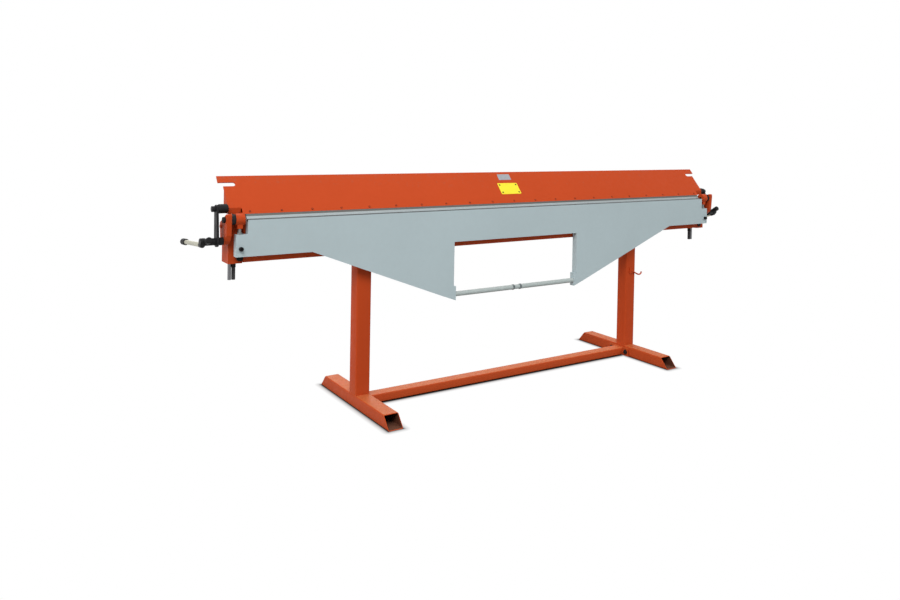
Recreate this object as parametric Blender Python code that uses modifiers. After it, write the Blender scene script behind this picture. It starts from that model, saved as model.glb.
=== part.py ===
"""Sheet metal brake for workshop benches: CAD source in metres, +Z up, front towards -Y.

X runs along the beams, Y = 0 is the centre of the posts and Z = 0 is the floor.
Every left piece is at -X and its right twin at +X.
"""
import math

import bmesh
import bpy
from mathutils import Matrix, Vector

# Fits and finish
GAP = 0.0003
OVERRUN = 0.020
WELD = 0.00001
EDGE_ROUND = 0.0012
BLADE_ROUND = 0.0008
RUNNING_PLAY = 0.0004
BEVEL_STEPS = 2
ROUND_STEPS = 28
SMALL_STEPS = 16
HEX_SIDES = 6
ARC_STEPS = 10
SHARP_ANGLE = math.radians(35)
FLAT_ANGLE = math.radians(0.1)

# Work line: the sheet lies at this height and bends about the hinge line
WORK_HALF = 1.5660
WORK_Z = 0.9858
JAW_SLIT = 0.0004
HINGE_Y = -0.0600
HINGE_RISE = 0.0005
HINGE_Z = WORK_Z + HINGE_RISE

# Ends along the work line, from the working length out
WORK_INSET = 0.0017
BED_REACH = 0.0088
PANEL_HALF = WORK_HALF + WORK_INSET
BED_HALF = PANEL_HALF + BED_REACH

# Bed beam and lower jaw
JAW_THICK = 0.0112
JAW_DEEP = 0.0797
JAW_CHAMFER = 0.0010
JAW_Z1 = WORK_Z - JAW_SLIT / 2
JAW_Z0 = JAW_Z1 - JAW_THICK
JAW_Y0 = HINGE_Y + GAP
BED_DEEP = 0.105
BED_HIGH = 0.1891
BED_SETBACK = 0.015
BED_WALL = 0.005
BED_Z1 = JAW_Z0 - GAP
BED_Z0 = BED_Z1 - BED_HIGH
BED_Y0 = HINGE_Y + BED_SETBACK
BED_Y1 = BED_Y0 + BED_DEEP
STRAP_INSET = 0.4965
STRAP_HALF = BED_HALF - STRAP_INSET
STRAP_THICK = 0.008
STRAP_HIGH = 0.060
STRAP_RISE = 0.015

# Stand
POST_INSET = 0.6275
POST_X = BED_HALF - POST_INSET
POST_WIDE = 0.080
POST_DEEP = 0.075
POST_WALL = 0.004
FOOT_HALF = 0.3885
FOOT_END_RUN = 0.0535
FOOT_HIGH = 0.062
FOOT_WALL = 0.003
SADDLE_THICK = 0.008
SADDLE_SIDE = 0.025
SADDLE_DEEP = 0.096
BOLT_RADIUS = 0.0080
BOLT_HIGH = 0.0065
BOLT_INSET = 0.0125
POST_TOP = BED_Z0 - GAP - SADDLE_THICK - GAP
CROSS_Y = 0.0065
CROSS_DEEP = 0.072
CROSS_HIGH = 0.043
CROSS_RISE = 0.0045
CROSS_WALL = 0.003
FLANGE_THICK = 0.008
FLANGE_DEEP = 0.169
FLANGE_HIGH = 0.048
FLANGE_BOLT_INSET = 0.024
FLANGE_BOLT_RADIUS = 0.0105
FLANGE_BOLT_HIGH = 0.0085
CROSS_HALF = POST_X - POST_WIDE / 2 - GAP - FLANGE_THICK - GAP
CROSS_Z = CROSS_RISE + CROSS_HIGH / 2
HOOK_RADIUS = 0.0045
HOOK_REACH = 0.091
HOOK_DROP = 0.030
HOOK_Z = 0.540
HOOK_SHARES = [(0.00, 0.00), (0.18, -0.24), (0.45, -0.64), (0.65, -0.91), (0.78, -1.00),
               (0.90, -0.91), (0.98, -0.68), (1.00, -0.40)]
HOOK_PAD_WIDE = 0.024
HOOK_PAD_HIGH = 0.036
HOOK_PAD_THICK = 0.006

# Cheeks that close the bed ends and guide the lift
CHEEK_WIDE = 0.0667
CHEEK_DEEP = 0.094
CHEEK_SETBACK = 0.0255
CHEEK_DROP = 0.005
CHEEK_HIGH = 0.185
CHEEK_WALL = 0.007
CHEEK_X0 = BED_HALF + GAP
CHEEK_X1 = CHEEK_X0 + CHEEK_WIDE
CHEEK_Y0 = HINGE_Y + CHEEK_SETBACK
CHEEK_Y1 = CHEEK_Y0 + CHEEK_DEEP
CHEEK_Z0 = BED_Z0 - CHEEK_DROP
CHEEK_Z1 = CHEEK_Z0 + CHEEK_HIGH
GUIDE_ROD_RADIUS = 0.0080
GUIDE_TUBE_RADIUS = 0.0090
GUIDE_TUBE_BORE = 0.0055
GUIDE_TUBE_SINK = 0.030
GUIDE_PLAY = 0.0005
GUIDE_SPACE = 0.0020
GUIDE_EDGE = 0.0220
GUIDE_BACK = 0.0190
GUIDE_BELOW = 0.0865
GUIDE_ROD_X = CHEEK_X1 - GUIDE_EDGE - GUIDE_ROD_RADIUS
GUIDE_TUBE_X = GUIDE_ROD_X - GUIDE_ROD_RADIUS - GUIDE_SPACE - GUIDE_TUBE_RADIUS
GUIDE_Y = CHEEK_Y1 - GUIDE_BACK
GUIDE_Z0 = CHEEK_Z0 - GUIDE_BELOW

# Bending beam
PANEL_FRONT = 0.0245
PANEL_DEEP = 0.0350
PANEL_SKIN = 0.0050
BENDING_BLADE_THICK = 0.0119
BENDING_BLADE_CLEAR = 0.0018
BENDING_BLADE_Z0 = WORK_Z - BENDING_BLADE_THICK
PANEL_Y0 = HINGE_Y - PANEL_FRONT
PANEL_Y1 = PANEL_Y0 + PANEL_DEEP
PANEL_TOP = WORK_Z
LEDGE_TOP = BENDING_BLADE_Z0 - GAP
LEDGE_Y = PANEL_Y0 + PANEL_SKIN
PANEL_HIGH = 0.1696
PANEL_BOTTOM = PANEL_TOP - PANEL_HIGH
TAB_DROP = 0.0683
TAB_TOP = PANEL_TOP - TAB_DROP
GUSSET_INSET = 0.3161
GUSSET_HALF = PANEL_HALF - GUSSET_INSET
WINDOW_HALF = 0.4377
WINDOW_HIGH = 0.3159
CORNER_HIGH = 0.0770
CORNER_STEP = 0.0141
CORNER_RUN = 0.0864
CORNER_RISE = 0.0315
WINDOW_LOWER = 0.0018
WINDOW_TOP = PANEL_BOTTOM - WINDOW_LOWER
CORNER_Z = WINDOW_TOP - WINDOW_HIGH
CORNER_X = WINDOW_HALF - CORNER_STEP

# Knuckles, adjusting studs, washers and pins
KNUCKLE_SPACE = 0.0133
KNUCKLE_WIDE = 0.0410
KNUCKLE_RADIUS = 0.0275
KNUCKLE_X0 = PANEL_HALF + KNUCKLE_SPACE
KNUCKLE_X1 = KNUCKLE_X0 + KNUCKLE_WIDE
TAB_HALF = KNUCKLE_X1 - GAP
STEM_WIDE = 0.0250
STEM_DEEP = 0.0235
STEM_FORWARD = 0.0047
STEM_LENGTH = 0.0420
STEM_Z = HINGE_Z - STEM_LENGTH
STUD_RADIUS = 0.0082
STUD_NUT_RADIUS = 0.0120
STUD_NUT_HIGH = 0.0085
STUD_X = (KNUCKLE_X0 + KNUCKLE_X1) / 2
STUD_Y = HINGE_Y - STEM_FORWARD
PIN_RADIUS = 0.0080
PIN_DOME = 0.0015
PIN_INSET = 0.0020
PIN_HEAD_RADIUS = 0.0135
PIN_HEAD_HIGH = 0.0115
WASHER_RADIUS = 0.0245
TAB_BOLT_EDGE = 0.0217
TAB_BOLT_UP = 0.0368
TAB_BOLT_RADIUS = 0.0100
TAB_BOLT_HIGH = 0.0130
TAB_BOLT_SOCKET = 0.0050
TAB_BOLT_SINK = 0.0060
BUFFER_RADIUS = 0.0150
BUFFER_EDGE = 0.0220
BUFFER_UP = 0.0260
BUFFER_SPACE = 0.0005

# Hinge ears
EAR_WIDE = 0.0222
EAR_FRONT = 0.0300
EAR_Y0 = HINGE_Y - EAR_FRONT
EAR_DEEP = 0.1115
EAR_BELOW = 0.1143
EAR_ABOVE = 0.0277
EAR_X0 = CHEEK_X1 + GAP
EAR_X1 = EAR_X0 + EAR_WIDE
EAR_Z0 = HINGE_Z - EAR_BELOW
EAR_HIGH = EAR_BELOW + EAR_ABOVE
EAR_SHARES = [(0.000, 0.891), (0.009, 0.958), (0.036, 0.989), (0.081, 1.000), (0.143, 0.986),
              (0.960, 0.683), (1.000, 0.655), (0.901, 0.000), (0.404, 0.000), (0.143, 0.148),
              (0.050, 0.312)]
WASHER_X0 = KNUCKLE_X1 + GAP
WASHER_X1 = EAR_X0 - GAP
PIN_X0 = KNUCKLE_X0 + PIN_INSET
EAR_BOLT_RADIUS = 0.0075
EAR_BOLT_HIGH = 0.0050
EAR_BOLT_INSET = 0.0210
EAR_BOLT_LOW = 0.0140
EAR_BOLT_PITCH = 0.0650

# Upper clamping beam
UPPER_SPACE = 0.0036
UPPER_HALF = EAR_X0 - UPPER_SPACE
TONGUE_REACH = 0.0222
TONGUE_HALF = UPPER_HALF + TONGUE_REACH
UPPER_SKIN = 0.0050
UPPER_DEEP = 0.1438
UPPER_HIGH = 0.1674
NOSE_BLADE_THICK = 0.0213
NOSE_BLADE_DEEP = 0.0844
NOSE_BEVEL_HIGH = 0.0115
NOSE_BEVEL_DEEP = 0.0085
NOSE_SETBACK = 0.0172
UPPER_BACK = 0.0947
BLADE_TIP_Y = HINGE_Y + 2 * GAP
BLADE_TIP_Z = WORK_Z + JAW_SLIT / 2
NOSE_Z = BLADE_TIP_Z + NOSE_BLADE_THICK + GAP
NOSE_Y = BLADE_TIP_Y + NOSE_SETBACK
CREST_Y = NOSE_Y + UPPER_DEEP
CREST_Z = NOSE_Z + UPPER_HIGH
UPPER_BACK_Y = NOSE_Y + UPPER_BACK
SLOT_LOW_SHARE = 0.727
SLOT_HIGH_SHARE = 0.829
SLOT_LENGTH = 0.0586
CUT_REACH = 0.300
NOTCH_CLEAR = 0.0103
NOTCH_RISE = 0.0281
NOTCH_X = PANEL_HALF + NOTCH_CLEAR
NOTCH_Z = NOSE_Z + NOTCH_RISE
NOTCH_Y = NOSE_Y + NOTCH_RISE * UPPER_DEEP / UPPER_HIGH
END_PLATE_THICK = 0.0060
LUG_THICK = 0.0060
LUG_SPACE = 0.0030
NOSE_SCREW_INSET = 0.0225
NOSE_SCREW_COUNT = 21
NOSE_SCREW_PITCH = 2 * (WORK_HALF - NOSE_SCREW_INSET) / (NOSE_SCREW_COUNT - 1)
NOSE_SCREW_REACH = 0.0132
NOSE_SCREW_RADIUS = 0.0055
NOSE_SCREW_HIGH = 0.0020
RIB_END_INSET = 0.0060
RIB_COUNT = 7
RIB_PITCH = 2 * (WORK_HALF - RIB_END_INSET) / (RIB_COUNT - 1)
RIB_THICK = 0.0050
RIB_DROP = 0.0700
RIB_INSET = 0.0060

# Cranks on the outer side of the ears
SHAFT_BACK = 0.0290
SHAFT_DROP = 0.0998
SHAFT_RADIUS = 0.0100
SHAFT_Y = HINGE_Y + SHAFT_BACK
SHAFT_Z = HINGE_Z - SHAFT_DROP
COLLAR_WIDE = 0.0233
COLLAR_RADIUS = 0.0180
SEAT_RADIUS = 0.0110
ARM_THICK = 0.0100
ARM_FOOT_RADIUS = 0.0250
ARM_HEAD_RADIUS = 0.0190
ARM_LEAN = 0.0085
HUB_RADIUS = 0.0165
HUB_LENGTH = 0.0467
HUB_END_RADIUS = 0.0190
HUB_END_WIDE = 0.0220
HUB_TAPER = 0.0020
ARM_X0 = EAR_X1 + GAP + COLLAR_WIDE + GAP
ARM_X1 = ARM_X0 + ARM_THICK
HUB_X0 = ARM_X1 + GAP
HUB_X1 = HUB_X0 + HUB_LENGTH
HUB_X2 = HUB_X1 + HUB_TAPER + HUB_END_WIDE
GRIP_Y = SHAFT_Y + ARM_LEAN
GRIP_OVER = 0.0197
GRIP_SPACE = 0.0038
GRIP_RADIUS = 0.0215
GRIP_Z = EAR_Z0 + EAR_HIGH + GRIP_OVER
GRIP_END_RADIUS = 0.0170
GRIP_END_LENGTH = 0.0050
GRIP_BOLT_RADIUS = 0.0060
GRIP_BOLT_PROUD = 0.0015
GRIP_HEAD_RADIUS = 0.0135
GRIP_HEAD_HIGH = 0.0177
GRIP_X0 = UPPER_HALF + GRIP_SPACE
GRIP_X1 = ARM_X0 - RUNNING_PLAY
KNOB_OUT = 0.0420
KNOB_RADIUS = 0.0150
KNOB_REACH = 0.0540
KNOB_ANGLE = math.radians(16)
KNOB_ROUND = 0.0040
LEVER_INSET = 0.0120
LEVER_BELOW = 0.0125
LEVER_LENGTH = 0.2740
LEVER_FALL = 0.0212
LEVER_RADIUS = 0.0105
LEVER_SOCKET_WALL = 0.0020
LEVER_SOCKET_FRONT = 0.0020
LEVER_SOCKET_BACK = 0.0250
CAP_WALL = 0.0050
CAP_OVERLAP = 0.0180
CAP_LENGTH = 0.0540

# Tie bar under the window
TIE_UP = 0.0315
TIE_BACK = 0.01645
TIE_Y = PANEL_Y0 + TIE_BACK
TIE_Z = CORNER_Z + TIE_UP
TIE_RADIUS = 0.0135
TIE_WALL = 0.0035
TIE_BREAK = 0.0310
TIE_SCREW_RADIUS = 0.0070
TIE_SCREW_HALF = 0.0600
TIE_BODY_RADIUS = 0.0125
TIE_NUT_WIDE = 0.0122
TIE_NUT_RADIUS = 0.0156

SIDES = {"left": -1.0, "right": 1.0}
CRANK_BACK = {"left": 0.0, "right": math.radians(16)}

for old in list(bpy.data.objects):
    bpy.data.objects.remove(old, do_unlink=True)
PARTS = bpy.data.collections.new("sheet_metal_brake")
CUTTERS = bpy.data.collections.new("cutters")
bpy.context.scene.collection.children.link(PARTS)
bpy.context.scene.collection.children.link(CUTTERS)

FINISHES = {
    "orange": ((0.58, 0.075, 0.021), 0.0, 0.45),
    "grey": ((0.39, 0.46, 0.47), 0.0, 0.45),
    "black": ((0.02, 0.02, 0.022), 0.0, 0.5),
    "steel": ((0.55, 0.55, 0.53), 1.0, 0.35),
    "dark_steel": ((0.12, 0.12, 0.12), 1.0, 0.45),
    "zinc": ((0.50, 0.49, 0.36), 1.0, 0.4),
}


def finish(obj, look):
    """Gives a piece its own material."""
    color, metallic, roughness = FINISHES[look]
    material = bpy.data.materials.new(obj.name)
    material.use_nodes = True
    shader = material.node_tree.nodes["Principled BSDF"]
    shader.inputs["Base Color"].default_value = (color[0], color[1], color[2], 1.0)
    shader.inputs["Metallic"].default_value = metallic
    shader.inputs["Roughness"].default_value = roughness
    obj.data.materials.clear()
    obj.data.materials.append(material)
    return obj


def mesh_object(name, bm, collection):
    data = bpy.data.meshes.new(name)
    bm.to_mesh(data)
    bm.free()
    obj = bpy.data.objects.new(name, data)
    collection.objects.link(obj)
    return obj


def smooth(obj):
    for face in obj.data.polygons:
        face.use_smooth = True
    obj.data.set_sharp_from_angle(angle=SHARP_ANGLE)
    return obj


def box(name, x_span, y_span, z_span, collection=PARTS):
    bm = bmesh.new()
    bmesh.ops.create_cube(bm, size=1.0)
    spans = (x_span, y_span, z_span)
    size = Vector([abs(span[1] - span[0]) for span in spans])
    middle = Vector([(span[1] + span[0]) / 2 for span in spans])
    bmesh.ops.scale(bm, vec=size, verts=bm.verts)
    bmesh.ops.translate(bm, vec=middle, verts=bm.verts)
    return mesh_object(name, bm, collection)


def add_rod(bm, start, end, radius, steps=ROUND_STEPS):
    start = Vector(start)
    end = Vector(end)
    way = end - start
    turn = way.to_track_quat("Z", "Y").to_matrix().to_4x4()
    matrix = Matrix.Translation((start + end) / 2) @ turn
    bmesh.ops.create_cone(bm, cap_ends=True, segments=steps, radius1=radius, radius2=radius,
                          depth=way.length, matrix=matrix)


def rod(name, start, end, radius, collection=PARTS, steps=ROUND_STEPS):
    bm = bmesh.new()
    add_rod(bm, start, end, radius, steps)
    return smooth(mesh_object(name, bm, collection))


def outline(name, rings, plane, centre, thickness, collection=PARTS):
    """A flat outline with its holes, filled and thickened, then made a welded mesh."""
    data = bpy.data.curves.new(name, "CURVE")
    data.dimensions = "2D"
    data.fill_mode = "BOTH"
    data.extrude = thickness / 2
    for ring in rings:
        spline = data.splines.new("POLY")
        spline.points.add(len(ring) - 1)
        for point, (across, up) in zip(spline.points, ring):
            point.co = (across, up, 0.0, 1.0)
        spline.use_cyclic_u = True
    if plane == "YZ":
        axes = (Vector((0, 1, 0)), Vector((0, 0, 1)), Vector((1, 0, 0)))
        offset = Vector((centre, 0, 0))
    else:
        axes = (Vector((1, 0, 0)), Vector((0, 0, 1)), Vector((0, -1, 0)))
        offset = Vector((0, centre, 0))
    curve = bpy.data.objects.new(name + "_outline", data)
    collection.objects.link(curve)
    curve.matrix_world = Matrix.Translation(offset) @ Matrix(axes).transposed().to_4x4()
    return from_curve(name, curve, collection)


def from_curve(name, curve, collection):
    """Makes a curve a mesh with its caps welded on, and removes the curve."""
    bpy.context.view_layer.update()
    graph = bpy.context.evaluated_depsgraph_get()
    mesh = bpy.data.meshes.new_from_object(curve.evaluated_get(graph))
    mesh.transform(curve.matrix_world)
    bpy.data.objects.remove(curve, do_unlink=True)
    bm = bmesh.new()
    bm.from_mesh(mesh)
    bmesh.ops.remove_doubles(bm, verts=bm.verts, dist=WELD)
    bmesh.ops.dissolve_limit(bm, angle_limit=FLAT_ANGLE, verts=bm.verts, edges=bm.edges)
    bmesh.ops.recalc_face_normals(bm, faces=bm.faces)
    bm.to_mesh(mesh)
    bm.free()
    obj = bpy.data.objects.new(name, mesh)
    collection.objects.link(obj)
    return obj


def turned(name, profile, y, z, side, bored=False, steps=ROUND_STEPS):
    """A piece turned about a line along X; the profile gives (x, radius) from its outer end in."""
    inner = profile[-1][0]
    points = [(radius, x - inner) for x, radius in profile]
    if not bored:
        points = [(0.0, points[0][1])] + points + [(0.0, 0.0)]
    bm = bmesh.new()
    verts = [bm.verts.new((radius, 0.0, height)) for radius, height in points]
    for first, second in zip(verts, verts[1:]):
        bm.edges.new((first, second))
    if bored:
        bm.edges.new((verts[-1], verts[0]))
    obj = mesh_object(name, bm, PARTS)
    screw = obj.modifiers.new("turn", "SCREW")
    screw.steps = steps
    screw.render_steps = steps
    screw.use_merge_vertices = True
    screw.merge_threshold = WELD
    screw.use_smooth_shade = steps > HEX_SIDES
    obj.location = (side * inner, y, z)
    obj.rotation_euler = (0.0, side * math.pi / 2, 0.0)
    return obj


def helper(tool):
    tool.hide_render = True
    tool.display_type = "WIRE"
    return tool


def combine(target, tool, operation):
    change = target.modifiers.new(operation.lower() + " " + tool.name, "BOOLEAN")
    change.operation = operation
    change.solver = "EXACT"
    change.object = helper(tool)


def cut(target, tool):
    combine(target, tool, "DIFFERENCE")


def join(target, tool):
    combine(target, tool, "UNION")


def ease(obj, width=EDGE_ROUND):
    change = obj.modifiers.new("eased edges", "BEVEL")
    change.width = width
    change.segments = BEVEL_STEPS
    change.limit_method = "ANGLE"
    change.angle_limit = SHARP_ANGLE


def mirror(obj):
    """Opens a half at X = 0 and mirrors it there."""
    bm = bmesh.new()
    bm.from_mesh(obj.data)
    inside = [face for face in bm.faces if all(abs(vert.co.x) < WELD for vert in face.verts)]
    bmesh.ops.delete(bm, geom=inside, context="FACES")
    bm.to_mesh(obj.data)
    bm.free()
    change = obj.modifiers.new("mirror", "MIRROR")
    change.use_axis = (True, False, False)
    change.use_clip = True
    change.merge_threshold = WELD


def span(side, near, far):
    return (side * near, side * far)


def about(middle, size):
    return (middle - size / 2, middle + size / 2)


def about_shaft(y, z, back):
    """Swings a point of the crank backwards about its shaft, to (y, z)."""
    ahead = y - SHAFT_Y
    above = z - SHAFT_Z
    return (SHAFT_Y + ahead * math.cos(back) + above * math.sin(back),
            SHAFT_Z - ahead * math.sin(back) + above * math.cos(back))


def set_origin(obj, point):
    """Puts an unturned object's origin at a point without moving its shape."""
    obj.data.transform(Matrix.Translation(obj.location - Vector(point)))
    obj.location = Vector(point)


# The sloping face of the upper beam
FACE_RUN = Vector((0, CREST_Y - NOSE_Y, CREST_Z - NOSE_Z))
FACE_LENGTH = FACE_RUN.length
FACE_UP = FACE_RUN.normalized()
FACE_OUT = Vector((0, -FACE_UP.z, FACE_UP.y))
FACE_RISE = FACE_RUN.z / FACE_RUN.y
SKIN_DROP = UPPER_SKIN / FACE_UP.y


def face_point(reach, out=0.0):
    """A point on the sloping face, reach up from the nose and out from the face."""
    return Vector((0, NOSE_Y, NOSE_Z)) + FACE_UP * reach + FACE_OUT * out


def face_z(y):
    return NOSE_Z + (y - NOSE_Y) * FACE_RISE


def under_face_z(y):
    return face_z(y) - SKIN_DROP


# Stand
for label, side in SIDES.items():
    middle = side * POST_X
    foot_ring = [(-FOOT_HALF, 0.0), (FOOT_HALF, 0.0), (FOOT_HALF - FOOT_END_RUN, FOOT_HIGH),
                 (FOOT_END_RUN - FOOT_HALF, FOOT_HIGH)]
    foot = outline(label + "_foot", [foot_ring], "YZ", middle, POST_WIDE)
    cut(foot, box(label + "_foot_bore", about(middle, POST_WIDE - 2 * FOOT_WALL),
                  (-FOOT_HALF - OVERRUN, FOOT_HALF + OVERRUN),
                  (FOOT_WALL, FOOT_HIGH - FOOT_WALL), CUTTERS))
    finish(foot, "orange")
    post = box(label + "_post", about(middle, POST_WIDE), about(0.0, POST_DEEP),
               (FOOT_HIGH + GAP, POST_TOP))
    cut(post, box(label + "_post_bore", about(middle, POST_WIDE - 2 * POST_WALL),
                  about(0.0, POST_DEEP - 2 * POST_WALL),
                  (FOOT_HIGH - OVERRUN, POST_TOP + OVERRUN), CUTTERS))
    finish(post, "orange")
    saddle_z = POST_TOP + GAP
    saddle_middle = BED_Y1 - SADDLE_DEEP / 2
    saddle_wide = POST_WIDE + 2 * SADDLE_SIDE
    saddle = box(label + "_saddle_plate", about(middle, saddle_wide),
                 about(saddle_middle, SADDLE_DEEP), (saddle_z, saddle_z + SADDLE_THICK))
    bm = bmesh.new()
    for across in (-1, 1):
        for along in (-1, 1):
            x = middle + across * (saddle_wide / 2 - BOLT_INSET)
            y = saddle_middle + along * (SADDLE_DEEP / 2 - BOLT_INSET)
            add_rod(bm, (x, y, saddle_z - BOLT_HIGH), (x, y, saddle_z + SADDLE_THICK / 2),
                    BOLT_RADIUS, HEX_SIDES)
    join(saddle, mesh_object(label + "_saddle_bolts", bm, CUTTERS))
    finish(saddle, "orange")
    near = CROSS_HALF + GAP
    flange = box(label + "_crossbar_flange", span(side, near, near + FLANGE_THICK),
                 about(CROSS_Y, FLANGE_DEEP), about(CROSS_Z, FLANGE_HIGH))
    bm = bmesh.new()
    for along in (-1, 1):
        y = CROSS_Y + along * (FLANGE_DEEP / 2 - FLANGE_BOLT_INSET)
        add_rod(bm, (side * (near + FLANGE_THICK / 2), y, CROSS_Z),
                (side * (near - FLANGE_BOLT_HIGH), y, CROSS_Z), FLANGE_BOLT_RADIUS, HEX_SIDES)
    join(flange, mesh_object(label + "_flange_bolts", bm, CUTTERS))
    finish(flange, "orange")

crossbar = box("crossbar", (-CROSS_HALF, CROSS_HALF), about(CROSS_Y, CROSS_DEEP),
               about(CROSS_Z, CROSS_HIGH))
cut(crossbar, box("crossbar_bore", (-CROSS_HALF - OVERRUN, CROSS_HALF + OVERRUN),
                  about(CROSS_Y, CROSS_DEEP - 2 * CROSS_WALL),
                  about(CROSS_Z, CROSS_HIGH - 2 * CROSS_WALL), CUTTERS))
finish(crossbar, "orange")

hook_y = -POST_DEEP / 2 - GAP - HOOK_PAD_THICK
hook_data = bpy.data.curves.new("tool_hook", "CURVE")
hook_data.dimensions = "3D"
hook_data.bevel_depth = HOOK_RADIUS
hook_data.bevel_resolution = 2
hook_data.use_fill_caps = True
wire = hook_data.splines.new("POLY")
wire.points.add(len(HOOK_SHARES) - 1)
for point, (across_share, up_share) in zip(wire.points, HOOK_SHARES):
    point.co = (POST_X + across_share * HOOK_REACH, hook_y, HOOK_Z + up_share * HOOK_DROP, 1.0)
wire_object = bpy.data.objects.new("hook_wire", hook_data)
CUTTERS.objects.link(wire_object)
wire_object = from_curve("tool_hook_wire", wire_object, CUTTERS)
hook = box("tool_hook", about(POST_X, HOOK_PAD_WIDE), (hook_y, hook_y + HOOK_PAD_THICK),
           about(HOOK_Z, HOOK_PAD_HIGH))
join(hook, wire_object)
finish(hook, "orange")

# Bed beam and lower jaw
bed = box("bed_beam", (-BED_HALF, BED_HALF), (BED_Y0, BED_Y1), (BED_Z0, BED_Z1))
cut(bed, box("bed_bore", (-BED_HALF - OVERRUN, BED_HALF + OVERRUN),
             (BED_Y0 + BED_WALL, BED_Y1 - BED_WALL), (BED_Z0 + BED_WALL, BED_Z1 - BED_WALL),
             CUTTERS))
finish(bed, "orange")
jaw_ring = [(JAW_Y0, JAW_Z0), (JAW_Y0 + JAW_DEEP, JAW_Z0), (JAW_Y0 + JAW_DEEP, JAW_Z1),
            (JAW_Y0 + JAW_CHAMFER, JAW_Z1), (JAW_Y0, JAW_Z1 - JAW_CHAMFER)]
finish(outline("bed_jaw", [jaw_ring], "YZ", 0.0, 2 * WORK_HALF), "steel")
strap = box("rear_strap", (-STRAP_HALF, STRAP_HALF), (BED_Y1 + GAP, BED_Y1 + GAP + STRAP_THICK),
            (BED_Z0 + STRAP_RISE, BED_Z0 + STRAP_RISE + STRAP_HIGH))
ease(strap)
finish(strap, "orange")

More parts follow.
